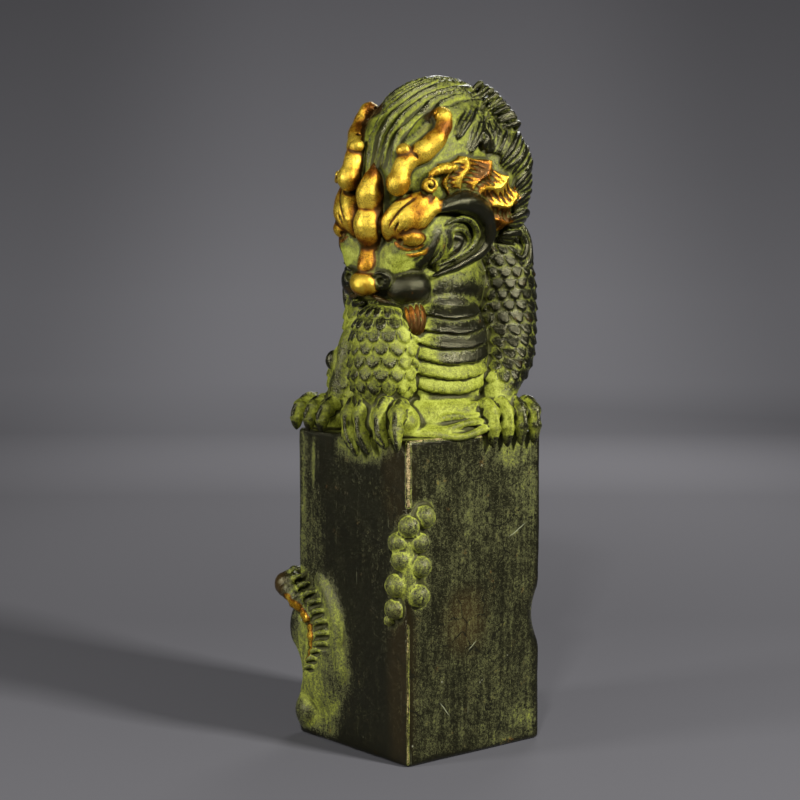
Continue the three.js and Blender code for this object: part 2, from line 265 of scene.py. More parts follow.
def spiral(centre, outward, reach, turns, thickness, start):
    """A raised curl on a surface that faces outward."""
    out = np.array(outward, float) / np.linalg.norm(outward)
    side, top = square_to(out)
    points = []
    for share in np.linspace(0, 1, round(7 * turns)):
        angle = math.radians(start + 360 * turns * share)
        away = reach * (1 - 0.85 * share)
        bearing = math.cos(angle) * side + math.sin(angle) * top
        points.append(np.array(centre) + away * bearing + 0.8 * share * out)
    return limb(points, [0.8 * thickness, thickness, thickness], ends=8)


def ring(centre, axis, radius, thickness):
    """A thin raised ring round an axis."""
    side, top = square_to(axis)
    angles = np.linspace(0, 2 * math.pi, 9)
    points = [centre + radius * (math.cos(a) * side + math.sin(a) * top) for a in angles]
    return limb(points, [thickness, thickness], ends=0)


def on_side(side, points):
    return [(side * x, y, z) for x, y, z in points]


def ball_on(side, place):
    """A ball whose place is its centre and radii, mirrored where side is -1."""
    (x, y, z), radii = place
    return ball((side * x, y, z), radii)


def limb_on(side, track, **more):
    """A limb whose track is its points and radii, mirrored where side is -1."""
    points, radii = track
    return limb(on_side(side, points), radii, **more)


class Field:
    """Distances on a box of evenly spaced points."""

    def __init__(self, placed, low, high, pitch):
        self.placed = placed
        self.low = np.array(low, float)
        self.pitch = pitch
        self.shape = tuple(int(math.ceil((b - a) / pitch)) + 1 for a, b in zip(low, high))
        self.value = np.full(self.shape, FAR, np.float32)
        self.painted = []

    def part(self, low, high):
        """The slices that cut out a box, and x, y and z along its sides."""
        first = np.maximum(np.floor((np.array(low) - self.low) / self.pitch).astype(int), 0)
        last = np.minimum(np.ceil((np.array(high) - self.low) / self.pitch).astype(int) + 1, self.shape)
        if np.any(first >= last):
            return None
        axes = [
            (self.low[k] + self.pitch * np.arange(first[k], last[k])).astype(np.float32) for k in range(3)
        ]
        return tuple(slice(a, b) for a, b in zip(first, last)), np.ix_(*axes)

    def add(self, shape, blend=0.0, paint=None, soft=1.0):
        """Joins a shape on. paint is what is rubbed on it: a dict of finish names and amounts,
        where a negative amount takes a finish away. It fades out over the distance soft."""
        found = self.part(shape.low - MARGIN, shape.high + MARGIN)
        if found is None:
            return
        where, (x, y, z) = found
        self.value[where] = soft_min(self.value[where], shape.distance(x, y, z), blend)
        if paint:
            self.painted.append((shape, paint, soft))

    def tint(self, shape, paint, soft):
        """Rubs a finish on without changing the form."""
        self.painted.append((shape, paint, soft))

    def carve(self, shape, blend=0.0):
        found = self.part(shape.low - MARGIN, shape.high + MARGIN)
        if found is None:
            return
        where, (x, y, z) = found
        self.value[where] = -soft_min(-self.value[where], shape.distance(x, y, z), blend)

    def everywhere(self):
        """x, y and z all over the field."""
        return self.part(self.low, self.low + self.pitch * np.array(self.shape))[1]

    def stain(self, stains, side=1):
        """Rubs finishes on in balls, each with a centre, radii, its paint and how softly it ends."""
        for centre, radii, paint, soft in stains:
            self.tint(ball_on(side, (centre, radii)), paint, soft)

    def sample(self, points):
        """The distance at each point, by linear interpolation."""
        place = (points - self.low) / self.pitch
        inside = np.all((place >= 0) & (place < np.array(self.shape) - 1.001), axis=1)
        place = np.clip(place, 0, np.array(self.shape) - 1.001)
        i = place.astype(int)
        t = place - i
        total = np.zeros(len(points))
        for dx in (0, 1):
            for dy in (0, 1):
                for dz in (0, 1):
                    weight = (
                        (t[:, 0] if dx else 1 - t[:, 0])
                        * (t[:, 1] if dy else 1 - t[:, 1])
                        * (t[:, 2] if dz else 1 - t[:, 2])
                    )
                    total += weight * self.value[i[:, 0] + dx, i[:, 1] + dy, i[:, 2] + dz]
        return np.where(inside, total, FAR)

    def skin(self):
        """The surface as points and four-cornered faces: one point in each cell that it crosses."""
        value = self.value
        solid = value < 0
        corner = [(dx, dy, dz) for dx in (0, 1) for dy in (0, 1) for dz in (0, 1)]
        size = [n - 1 for n in self.shape]
        count = np.zeros(size, np.uint8)
        for dx, dy, dz in corner:
            count += solid[dx : dx + size[0], dy : dy + size[1], dz : dz + size[2]]
        crossed = (count > 0) & (count < 8)
        number = np.full(size, -1, np.int32)
        cells = np.argwhere(crossed)
        number[crossed] = np.arange(len(cells))
        at = [value[cells[:, 0] + dx, cells[:, 1] + dy, cells[:, 2] + dz] for dx, dy, dz in corner]
        total = np.zeros((len(cells), 3))
        hits = np.zeros(len(cells))
        for a in range(8):
            for b in range(a + 1, 8):
                step = np.array(corner[b]) - np.array(corner[a])
                if np.abs(step).sum() != 1:
                    continue
                cut = (at[a] < 0) != (at[b] < 0)
                share = np.where(cut, at[a] / np.where(cut, at[a] - at[b], 1), 0)
                total += cut[:, None] * (np.array(corner[a]) + share[:, None] * step)
                hits += cut
        points = self.low + self.pitch * (cells + total / hits[:, None])
        faces = []
        for axis in range(3):
            u, v = (axis + 1) % 3, (axis + 2) % 3
            ahead = [slice(None)] * 3
            behind = [slice(None)] * 3
            ahead[axis], behind[axis] = slice(1, None), slice(None, -1)
            edge = solid[tuple(behind)] != solid[tuple(ahead)]
            rows = np.argwhere(edge)
            rows = rows[(rows[:, u] > 0) & (rows[:, v] > 0) & (rows[:, u] < size[u]) & (rows[:, v] < size[v])]
            leaving = solid[tuple(behind)][tuple(rows.T)]
            quad = []
            for du, dv in ((-1, -1), (0, -1), (0, 0), (-1, 0)):
                cell = rows.copy()
                cell[:, u] += du
                cell[:, v] += dv
                quad.append(number[tuple(cell.T)])
            quad = np.stack(quad, 1)
            quad[~leaving] = quad[~leaving][:, ::-1]
            faces.append(quad)
        return points, np.vstack(faces)


# Patterns of the carving, in rows and columns one unit apart.


def scales(across, down):
    """Overlapping scales: how far each stands up, from 0 where it starts to 1 at its lip."""
    row = np.floor(down)

    def one(r):
        a = across + 0.5 * np.mod(r, 2)
        a = 2 * (a - np.round(a))
        b = (down - r) / 2
        lip = 0.48 + 0.5 * np.sqrt(np.maximum(1 - a * a, 0))
        rise = np.clip(b / lip, 0, 1)
        return lip - b, (0.15 + 0.85 * rise**1.3) * (1 - 0.3 * a * a)

    margin, over = one(row - 1)
    _, under = one(row)
    covered = fade(margin, -0.03, 0.05)
    return over * covered + under * (1 - covered)


def bands(down):
    """Overlapping plates in single rows."""
    share = np.mod(down, 1)
    return fade(share, 0, 0.9) * (1 - fade(share, 0.93, 1.0))


def strands(across, sharpness=2.4):
    """Combed hair: ridges between grooves, which are narrower where sharpness is greater."""
    return 1 - np.abs(2 * np.mod(across, 1) - 1) ** sharpness


# The seal block.

# The bunch of round bosses over the block's front edge. Each row is (x, y, z, radius).
BOSSES = [
    (-14.9, -19.2, 52.4, 2.3),
    (-18.4, -18.6, 50.6, 2.1),
    (-19.4, -16.5, 47.2, 2.1),
    (-16.2, -19.4, 47.2, 2.0),
    (-19.2, -17.2, 43.6, 2.1),
    (-16.0, -19.4, 42.2, 2.2),
    (-19.4, -16.0, 38.2, 2.4),
    (-16.4, -19.4, 36.2, 2.2),
    (-19.4, -15.4, 33.2, 2.1),
    (-19.5, -13.6, 30.4, 1.0),
]
BOSS_STEM = (
    [(-15, -18, 53.5), (-17.6, -17.6, 46), (-17.6, -17.4, 38), (-18.2, -14.4, 30.5)],
    [1.4, 1.9, 2.0, 1.0],
)
LEDGE = (
    [
        (-16, 22.5, 36),
        (-20.5, 20.5, 33.5),
        (-20.2, 16, 30),
        (-19.7, 12.6, 26),
        (-19.6, 12, 20),
        (-19.3, 14.5, 16),
    ],
    [2.2, 3.0, 2.2, 1.5, 1.4, 1.0],
)
# Ribs of the ledge: their rear and front ends on the left face, as (y, z).
LEDGE_RIBS = [
    ((21.5, 34.6), (18.0, 37.4)),
    ((19.8, 33.4), (15.6, 36.4)),
    ((17.6, 32.4), (13.4, 35.0)),
    ((15.2, 31.2), (11.0, 33.2)),
    ((13.4, 29.8), (9.2, 31.4)),
    ((12.4, 27.9), (8.0, 29.4)),
    ((11.5, 25.8), (6.8, 27.2)),
    ((10.9, 23.6), (6.2, 24.6)),
    ((11.2, 21.4), (6.4, 22.2)),
    ((13.0, 19.2), (8.8, 20.6)),
    ((14.2, 17.2), (10.2, 18.6)),
    ((15.0, 15.2), (11.4, 16.6)),
]
LEDGE_BORDER = [(11.4, 35.7), (9, 33.8), (7, 31), (5.4, 28), (4.4, 24.9), (4.6, 22), (3.8, 19), (3.4, 15)]
LEDGE_GILT = [
    (-22.6, 18.6, 31.6),
    (-22.2, 15.4, 29.0),
    (-21.4, 12.8, 26),
    (-21.2, 12.2, 21.6),
    (-20.6, 13.8, 17.4),
]
# The swollen metal round the ledge: centre, radii, blend, powder and how softly that ends.
LEDGE_SWELLINGS = [
    ((-18.2, 12, 17.5), (2.0, 8.5, 9.5), 2.5, 0, 1),
    ((-17.0, 11.5, 27), (3.2, 7.5, 9.0), 2.5, 0.4, 5),
    ((-17.6, 18.0, 24), (3.0, 3.2, 6.0), 1.0, 0.5, 2.5),
]
LEDGE_STAINS = [
    ((-19, 14.5, 15), (2, 5, 9), {"powder": 0.74}, 7),
    ((-21.8, 21.6, 33.4), 2.2, {"brown": 1.0, "bare": 0.4}, 2.6),
]
LEDGE_CAVE = ((-21.2, 12.5, 4.8), (2.6, 6.2, 4.6))
LEDGE_STUMP = ((-16.8, 16.8, 5.2), (3.6, 4.2, 4.4))
# Low lumps of the hidden face behind the ledge: their centres and radii.
REAR_LUMPS = [((-9, 21, 34), (9, 3.2, 4)), ((2, 20, 31), (8, 2.4, 4.5)), ((-14, 20, 24), (6, 2.2, 7))]
# Where the faces are greener or browner: centre, radii, paint and how softly it ends.
FACE_STAINS = [
    ((-3, -19, 29), (2, 1.5, 3), {"brown": 0.55}, 10),
    ((-9.7, -19, 57.6), (1.5, 1.5, 1.5), {"powder": 0.5}, 5),
    ((12, -19, 63.5), (5, 1.5, 1.5), {"powder": 0.55}, 4.5),
    ((16, -19, 55), (1.5, 1.5, 5), {"powder": 0.46}, 7),
    ((0, -19, 52), (3, 1.5, 6), {"powder": 0.40}, 9),
    ((9, -19, 0.5), (9, 1.5, 1.0), {"powder": 0.5}, 4),
    ((13, -19, 6), (3, 1.5, 1.5), {"powder": 0.52}, 5),
    ((-6, -19, 41), (4, 1.5, 2), {"powder": 0.38}, 9),
    ((-19, -4, 67), (1.5, 8, 3), {"powder": 0.62}, 4),
    ((-19, 18, 54), (1.5, 0.5, 14), {"powder": 0.62}, 5),
    ((-19, 13.4, 61), (0.8, 0.3, 4), {"powder": 0.8}, 1.0),
    ((-19, 13, 47), (1.5, 1.5, 8), {"powder": 0.36}, 6),
    ((-19, 9, 12), (1.5, 3, 12), {"powder": 0.55}, 6),
    ((-19, -16, 20), (1.5, 2, 16), {"brown": 0.45}, 5),
    ((-19, -15, 60), (1.5, 3, 8), {"brown": 0.4}, 5),
]
# Edges worn to bare metal, just inside the corners: their points, amount and how softly they end.
CORNER = 0.2 - HALF
WORN_EDGES = [
    ([(CORNER, CORNER, 55), (CORNER, CORNER, 61.6), (CORNER, CORNER, 68.2)], 0.82, 1.1),
    ([(CORNER, CORNER, 0.5), (CORNER, CORNER, 15.25), (CORNER, CORNER, 30)], 0.76, 0.4),
    ([(CORNER, CORNER, 68.3), (-6, CORNER, 68.2), (5, CORNER, 68.3)], 0.72, 0.35),
]
# Corners that are knocked in: centre, radii and blend.
CORNER_HOLLOWS = [
    ((22.8, -22.2, 28), (7, 7, 9), 1.5),
    ((-23.4, 22.8, 14), (7, 7, 7.5), 1.2),
    ((22.6, 22.8, 44), (6.4, 6.4, 10), 1.5),
]
PALE = {"powder": 0.84}


def seal_block():
    field = Field(ON_BLOCK, (-24.5, -23.5, -1), (22, 26, BLOCK_HEIGHT + 1), BLOCK_PITCH)
    x, y, z = field.everywhere()
    inset = [np.abs(x) - (HALF - EDGE_ROUND), np.abs(y) - (HALF - EDGE_ROUND)]
    inset.append(np.abs(z - BLOCK_HEIGHT / 2) - (BLOCK_HEIGHT / 2 - EDGE_ROUND))
    outside = np.sqrt(sum(np.maximum(q, 0) ** 2 for q in inset))
    inside = np.minimum(np.maximum(np.maximum(inset[0], inset[1]), inset[2]), 0)
    field.value[...] = outside + inside - EDGE_ROUND
    field.value += 0.10 * (1 + uneven(x, y, z, 17)) + 0.03 * uneven(x, y, z, 4)
    rough_ledge(field)
    bunch_of_bosses(field)
    for centre, radii, blend in CORNER_HOLLOWS:
        field.carve(ball(centre, radii), blend)
    field.stain(FACE_STAINS)
    for points, amount, soft in WORN_EDGES:
        field.tint(limb(points, [0.2, 0.2], ends=0), {"worn": amount, "powder": 0.3}, soft)
    return field


def bunch_of_bosses(field):
    field.add(limb(*BOSS_STEM), 1.0, {"powder": 0.7})
    for x, y, z, radius in BOSSES:
        field.add(ball((x, y, z), 1.05 * radius), 0.06, {"powder": 0.8}, 0.6)
        out = np.array([x, y, 0]) / math.hypot(x, y)
        middle = np.array([x, y, z]) + out * radius * 0.35
        field.add(ring(middle, out, radius, 0.26), 0.12, {"powder": 0.95}, 0.4)


def rough_ledge(field):
    """The ribbed growth on the left face, with the swollen metal round it."""
    for centre, radii, blend, powder, soft in LEDGE_SWELLINGS:
        field.add(ball(centre, radii), blend, {"powder": powder}, soft)
    border = [(-HALF, y, z) for y, z in LEDGE_BORDER]
    field.add(limb(border, [0.5, 0.9, 0.9, 0.6]), 1.6, {"powder": 0.85}, 3.0)

    def chipped(share, angle):
        return 0.3 * np.sin(38 * share) + 0.2 * np.sin(91 * share + 1)

    field.add(limb(*LEDGE, relief=chipped), 0.5, {"powder": 0.72}, 0.8)
    field.tint(limb(LEDGE_GILT, [0.6, 0.8, 0.9, 0.8, 0.4]), {"gold": 0.85, "brown": 0.15}, 1.0)
    field.stain(LEDGE_STAINS)
    for (y0, z0), (y1, z1) in LEDGE_RIBS:
        y, z = (y0 + y1) / 2, (z0 + z1) / 2
        rib = [(-20.6, y0, z0), (-21.0, y, z + 0.3), (-19.6, y1, z1)]
        field.add(limb(rib, [0.5, 0.6, 0.3]), 0.12, {"powder": 1.0}, 0.5)
        gap = [(-20.9, y0 - 0.6, z0 - 0.9), (-20.6, y, z - 0.9), (-19.9, y1, z1 - 0.9)]
        field.carve(limb(gap, [0.4, 0.55, 0.3]), 0.15)
    field.carve(ball(*LEDGE_CAVE), 0.8)
    field.add(ball(*LEDGE_STUMP), 0.8, {"powder": 0.7})
    for centre, radii in REAR_LUMPS:
        field.add(ball(centre, radii), 1.5, {"powder": 0.5})


# The body.

RUMP = ((0, 5, 7), (15, 12, 10))
FOOT = ((-1, -7.5, 3), (13.5, 10.5, 7))
BIB = ((-4, -10.5, 0.6), (14, 8.6, 2.8))
BIB_FOLDS = (0.6, 2.2, 3.9, 5.4)
NECK = ((0, -2, 32), (14, 12, 12))
BACK = ((1, 6, 22), (14.5, 11, 18))
CHEST = ((-1, -6, 17), (12.5, 11, 17))
PLATES = {"count": 8, "top": 0.72, "foot": -0.78, "bearing": -10, "reach": 46, "dip": 1.7, "lip": 0.95}
LEFT_ARM = (
    [(13.5, -4, 44), (17, -5.5, 35), (18.2, -6, 26), (16.5, -9, 17), (10.5, -13.5, 8.5), (10, -15, 2)],
    [9, 8.8, 8, 6.8, 4.8, 5],
)
RIGHT_ARM = (
    [(-11.5, -3.5, 27), (-12.8, -5, 20), (-13.5, -5, 13), (-14, -5, 7), (-15.5, -6, 1)],
    [5.5, 8, 7.6, 5.6, 5],
)
PAW_MOUNDS = [
    ((10, -14.5, 3), (8, 5, 5)),
    ((-15, -7, 3), (5, 9.5, 5)),
    ((-12.5, 13.4, 3), (6.5, 6.4, 5)),
    ((13, 11.5, 3), (6, 6, 4.5)),
]
LEFT_FORE_TOES = [
    [(x + 0.5, -14.5, 5.5), (x + 0.5, -18.3, 5.5), (x, -20.3, 2), (x - 0.5, -20.4, -2.8)]
    for x in (3.5, 7.6, 11.6, 15.5)
]
RIGHT_FORE_TOES = [
    [(-15, 1, 6), (-18.5, 0, 6), (-20.8, -1.5, 1), (-20.7, -5, -4.3)],
    [(-15, -4, 6.5), (-18.8, -4.5, 6.5), (-20.9, -6, 1), (-20.7, -9, -3.5)],
    [(-14.5, -9, 6.5), (-18.5, -10.5, 6.5), (-20.8, -12, 1.5), (-20.6, -14.5, -1.8)],
    [(-13, -11.4, 5.6), (-17.0, -13.8, 6.2), (-19.8, -16.2, 2.6), (-20.6, -17.8, -2.2)],
]


def hind_toes(side, places, drop):
    return [
        [(side * 13, y + 1, 6), (side * 17.5, y, 5.5), (side * 19.8, y, 3), (side * 19.7, y, -drop)]
        for y in places
    ]


TOES = LEFT_FORE_TOES + RIGHT_FORE_TOES + hind_toes(-1, (17.8, 13.2, 8.6), 0) + hind_toes(1, (15, 8), 2)
HAUNCHES = [((-9.5, 8, 10), (6.5, 8.5, 11)), ((12, 8, 10), (6.5, 9, 11))]
RIGHT_SHIN = ([(-11, 7, 24), (-13.5, 7, 17), (-14, 8.5, 10), (-14, 10, 4)], [3, 3, 3.2, 3.6])
HOCK_TUFT = ((-15.8, 9.8, 15), (1.9, 1.9, 2.3))
TAIL = (
    [(0, 15, 4), (4, 18, 9), (4, 18.5, 17), (-1, 18, 24), (-3, 18.5, 31), (0, 19, 36)],
    [3, 3, 2.6, 3.2, 2.8, 1],
)
# The curling flame on the left shoulder, just under the mane: points and thickness of its tongues.
SHOULDER_FLAMES = [
    ([(14.5, -12.5, 47), (17.5, -13, 43.5), (19.5, -13.2, 40), (17.5, -13.9, 37.2), (15.4, -14, 38.6)], 0.8),
    ([(17, -11.5, 47), (20, -11.9, 43.5), (21.6, -12.2, 39.5), (19.5, -13.4, 35.6), (16.6, -13.8, 35)], 0.7),
    ([(19.5, -10, 46), (22.4, -10.2, 42), (23.6, -10.6, 37.5), (22, -12, 34)], 0.6),
    ([(13.5, -13.2, 44), (15.6, -13.6, 41.8), (16.8, -14, 40)], 0.6),
]


def chest_relief(px, py, pz):
    bearing = np.degrees(np.arctan2(px, -py))
    middling = np.clip(1 - ((bearing - PLATES["bearing"]) / PLATES["reach"]) ** 2, 0, 1)
    height = pz + PLATES["dip"] * middling / CHEST[1][2] + 0.005 * np.sin(bearing / 6 + 9 * pz)
    down = (PLATES["top"] - height) / (PLATES["top"] - PLATES["foot"]) * PLATES["count"]
    inside = fade(middling, 0, 0.25) * fade(down, 0, 0.2) * (1 - fade(down, 7.8, 8.2))
    return PLATES["lip"] * (bands(down) - 0.15) * inside


def rounds(centre, width, top, row, height, low=-99, front=0):
    """Rows of scales round an upright line, from the height top down to low. They leave out the
    front within some degrees of -Y."""

    def lifted(x, y, z):
        bearing = np.degrees(np.arctan2(x - centre[0], -(y - centre[1])))
        bearing = bearing + 2 * uneven(x, y, z, 14)
        pattern = scales(bearing / width, (top - z) / row + 0.12 * uneven(x, y, z, 9))
        beside = fade(np.abs(bearing), front - 6, front + 6) if front else 1
        return height * (pattern - 0.35) * fade(z, low, low + 2.5) * (1 - fade(z, top - 1, top)) * beside

    return lifted


def body():
    field = Field(ON_TOP, (-24, -23, -7.5), (29.5, 25.5, 53), BODY_PITCH)
    around = rounds((0, 0), 13, 50, 2.6, 1.1, front=56)
    field.add(engraved(ball(*RUMP), rounds((0, 5), 14, 40, 2.6, 0.8, 2)), 0)
    field.add(ball(*FOOT), 2.5, PALE)
    field.add(ball(*BIB), 1.5, {"powder": 0.8})
    field.add(engraved(ball(*NECK), around), 1.0)
    field.add(ball(*CHEST, relief=chest_relief), 0.4)
    field.add(engraved(ball(*BACK), around), 0.5)
    wrinkled_foot(field)
    haunches_and_tail(field)
    field.add(engraved(limb(*LEFT_ARM), rounds((11, -3), 12.5, 48, 2.5, 1.25, 9)), 0.3)
    field.add(engraved(limb(*RIGHT_ARM), rounds((-13, -4.5), 23, 33, 2.7, 1.25, 7)), 0.3)
    for points, radius in SHOULDER_FLAMES:
        field.add(limb(points, [radius, 1.2 * radius, radius, 0.5 * radius]), 0.15)
    for centre, size in PAW_MOUNDS:
        field.add(ball(centre, size), 0.8, {"powder": 0.6 if centre[0] > 0 else 0.8})
    for points in TOES:
        toe(field, points)
    x, y, z = field.everywhere()
    field.value -= 0.07 * uneven(x, y, z, 3.1)
    return field


def wrinkled_foot(field):
    """The folds of the bib where the chest meets the block."""
    for k, z in enumerate(BIB_FOLDS):
        reach = 15.0 - k
        angles = np.linspace(-62 + 9 * k, 36 - 4 * k, 9)
        points = [
            (
                -1 + reach * math.sin(math.radians(a)),
                -7.6 - (12.3 - 1.1 * k) * math.cos(math.radians(a)),
                z + 0.5 * math.sin(a / 9 + 2 * k) + 0.02 * a,
            )
            for a in angles
        ]
        field.add(limb(points, [0.5, 0.95, 0.7, 1.0, 0.5]), 0.25, PALE)


def haunches_and_tail(field):
    def relief(px, py, pz):
        return scales(np.degrees(np.arctan2(px, -py)) / 22, (1 - pz) * 4.5) - 0.3

    for haunch in HAUNCHES:
        field.add(ball(*haunch, relief=relief), 0.8)
    field.add(limb(*RIGHT_SHIN), 0.8)
    field.add(ball(*HOCK_TUFT), 0.4)

    def hairy(share, angle):
        return 0.35 * strands(angle / 40 + 2 * share)

    field.add(limb(*TAIL, out=(0, 1, 0), relief=hairy), 0.4)


def toe(field, points):
    """A knuckled toe with a crest along it, and the claw that hangs from it."""
    p = np.array(points, float)
    out = p[2] - p[0]
    out = np.array([out[0], out[1], 0]) / np.linalg.norm(out[:2])

    def knuckles(share, angle):
        return 0.28 * np.cos(share * 24 + 1) * (1 - fade(share, 0.7, 0.85))

    amount = 0.62 if p[0][0] > 0 else 0.86
    field.add(limb(points, [1.6, 1.8, 1.6, 0.9], relief=knuckles), 0.2, {"powder": amount})
    up = np.array([0, 0, 1])
    crest = [p[0] + 1.4 * up, p[1] + 0.7 * out + 1.3 * up, p[2] + 1.4 * out + 0.5 * up, p[3] + 0.9 * out]
    field.add(limb(crest, [0.3, 0.55, 0.55, 0.3]), 0.25)
    root = p[2] + 0.4 * (p[1] - p[2]) + 0.4 * out
    claw = [root, p[2] + 0.8 * out - 1.2 * up, p[3] + 0.4 * out - 0.6 * up]
    field.add(limb(claw, [0.6, 1.05, 0.8, 0.3], ends=6), 0.1, {"powder": 0.6}, 0.5)


# The head.

CROWN = ((0, -4.6, 6), (14.2, 19.8, 18.6))
MANE = ((0, -10.8, 3.4), (17.4, 13.0, 18.4))
GOLD = {"gold": 1.0}
FACE = [
    ((0, -1.5, 2.5), (14, 17.6, 15.5), 1.0),
    ((0, 8, -9), (11, 8.5, 11), 2.0),
    ((0, 12, -17), (7.5, 6.5, 5.6), 2.0),
    ((0, 10.5, -21), (8, 6.5, 2.6), 0.4),
]
NOSE = ((0, 18.0, -18.3), (3.8, 3.1, 2.7))
NOSE_TIP = ((0, 19.4, -18.7), (2.6, 2.1, 2.2))
# What comes in pairs is placed on the head's right. First the balls: centre and radii.
CHEEK = ((8.5, 5, -8), (5.6, 9.5, 7.2))
EYE = ((8.4, 14.8, -8.0), (3.2, 2.5, 2.2))
PUPIL = ((7.7, 17.1, -9.0), 0.75)
BROW_KNOT = ((11.0, 12.4, 2.6), (1.7, 1.5, 1.8))
HORN_BULB = ((6.5, 17, 3.0), (2.6, 2.5, 2.8))
HORN_KNOB = ((6.2, 15.2, 9.6), (1.7, 1.6, 1.5))
HORN_CROOK = ((9.2, 5.6, 18.8), 1.1)
WHORL_CUP = ((17.2, 4.4, -8.6), (3.6, 6.4, 5.6))
MUZZLE_SIDE = ((4.6, 13.4, -13.2), (4.6, 4.2, 4.6))
NOSTRIL = ((4.2, 17.6, -17.6), (1.7, 1.8, 1.8))
NOSTRIL_PIT = ((4.3, 19.2, -17.5), (0.9, 1.3, 0.9))
# Then the limbs, each with its points and radii, and the stains. What belongs to the nose, the brow
# ridge and the beard isn't mirrored.
BRIDGE = ([(0, 18.6, -16.5), (0, 17.2, -12), (0, 17, -8.5)], [2.5, 2.0, 2.3])
BROW_RIDGE = (
    [
        (0, 16.2, -10.6),
        (0, 17.7, -8.8),
        (0, 18.2, -6.2),
        (0, 17.6, -3.0),
        (0, 18.1, 0.2),
        (0, 17.4, 3.4),
        (0, 17.0, 7.0),
    ],
    [1.5, 2.7, 3.2, 2.5, 2.9, 2.1, 0.4],
)
HORN = (
    [
        (6.4, 16.8, 3.4),
        (6.7, 15.2, 7.0),
        (8.6, 12.0, 9.4),
        (10.5, 9.2, 12.6),
        (10.6, 7.4, 15.4),
        (9.3, 6.9, 17.2),
        (7.9, 7.8, 17.2),
    ],
    [2.5, 2.2, 2.2, 2.0, 1.8, 1.6, 1.1],
)
HORN_HOLLOW = [(4.6, 12.6, 12.4), (5.2, 11.0, 16.0), (6.6, 8.4, 18.4), (8.2, 5.0, 19.6)]
# Cuts across the horn, by y and z.
HORN_CUTS = [(16.4, 6.4), (13.4, 9.6), (10.2, 11.6)]
# Where the gold is rubbed brown: centre, radii, paint and how softly it ends.
HORN_STAINS = [
    ((8.0, 7.8, 17.6), 1.5, {"brown": 1.0, "bare": 1.0}, 2.0),
    ((12.6, 8.0, 14.4), 1.2, {"brown": 1.0}, 2.6),
    ((9.4, 9.6, 12.6), 1.8, {"brown": 0.95}, 2.4),
    ((4.4, 17, 2.6), 1.0, {"brown": 0.8}, 2.2),
    ((7.2, 14.6, 8.6), (2, 2, 0.5), {"brown": 0.7}, 1.4),
]
WHORL_CUP_STAINS = [((14.4, 4.0, -8.4), (2.5, 5.6, 5.0), {"bare": 0.7}, 0.6)]
WHORL_CORE_STAINS = [((14.4, 5.4, -9.2), (1.6, 1.4, 2.0), {"bare": 0.95}, 0.5)]
MUZZLE_STAINS = [((6.0, 15.0, -13.4), (3.5, 3, 2.0), {"powder": 1.0}, 2.0)]
BROW_STAINS = [
    ((8.2, 15.4, -7.4), (3.2, 2, 1.2), {"brown": 0.6}, 2.0),
    ((9.8, 14.6, -2.0), (1.2, 2, 1.6), {"brown": 0.35}, 2.0),
]
NOSE_STAINS = [
    ((0, 18.5, 6.4), (2, 2, 1.4), {"brown": 1.0}, 2.4),
    ((0, 18.5, -9.8), (3, 3, 0.6), {"brown": 1.0}, 2.2),
    ((-3.4, 17.5, -2.5), (0.8, 1, 3), {"brown": 0.8}, 2.0),
    ((3.4, 17.2, -2.5), (0.8, 1, 6), {"brown": 1.0}, 2.2),
    ((0, 18.6, -21.0), (5, 3, 0.6), {"brown": 1.0}, 1.6),
]
# The flame-shaped brow: the leaf under it, the lobes that start over the eye and sweep up to the
# curl, and the grooves between them.
BROW_LEAF = ([(5.6, 15.6, -7.4), (7.8, 14.9, -4.2), (10.8, 12.4, -0.6)], [2.4, 3.3, 1.8])
BROW_FLAMES = [
    ([(4.4, 16.5, -8.8), (4.9, 17.0, -5.4), (7.2, 15.9, -1.6), (10.2, 13.2, 1.2)], [1.5, 2.2, 1.7, 0.9]),
    ([(6.2, 16.3, -8.0), (7.8, 15.9, -4.6), (9.8, 14.0, -1.6), (11.4, 12.2, 1.2)], [1.4, 2.2, 1.8, 1.0]),
    ([(8.6, 15.2, -6.9), (10.2, 14.2, -4.6), (11.6, 12.4, -2.4), (12.3, 11.4, 0.4)], [1.3, 1.9, 1.5, 0.8]),
]
BROW_GROOVES = [
    [(4.8, 18.3, -9.0), (5.9, 18.9, -6.0), (7.7, 17.9, -2.8), (10.2, 15.0, 0.6)],
    [(6.6, 18.3, -7.8), (7.6, 18.1, -5.4), (9.2, 16.6, -2.6), (11.2, 14.0, 0.6)],
    [(8.2, 17.8, -7.4), (9.3, 16.9, -5.4), (10.6, 15.3, -3.0), (12.0, 13.2, -0.4)],
    [(9.8, 16.4, -6.8), (10.9, 15.1, -5.2), (12.0, 13.4, -3.2), (12.8, 12.2, -1.4)],
]
LIDS = [
    ([(5.4, 16.4, -8.2), (7.4, 16.4, -10.2), (10, 14.2, -10.2), (12.3, 11.2, -7.4)], 0.55),
    ([(4.9, 16.3, -9.2), (7.3, 16.2, -11.4), (10.4, 13.9, -11.4), (12.9, 10.6, -8.4)], 0.5),
]
RIBBON = ([(11.0, 12.8, 4.6), (12.0, 10.8, 5.8), (12.8, 8.6, 6.3), (13.8, 6.4, 6.4)], [0.7, 0.9, 1.1, 0.9])
CHEEKBONE = (
    [(12.6, 10.4, -6.4), (11.9, 11.4, -9.2), (10.9, 12.2, -11.8), (9.6, 12.4, -13.6), (10.6, 10.6, -14.0)],
    [0.6, 1.0, 1.3, 1.2, 0.6],
)
CHEEK_FOLD = (
    [(12.4, 9.6, -9.5), (11.8, 9.4, -12.0), (11.0, 8.6, -14.4), (10.6, 7.2, -16.6)],
    [0.5, 0.8, 0.8, 0.5],
)
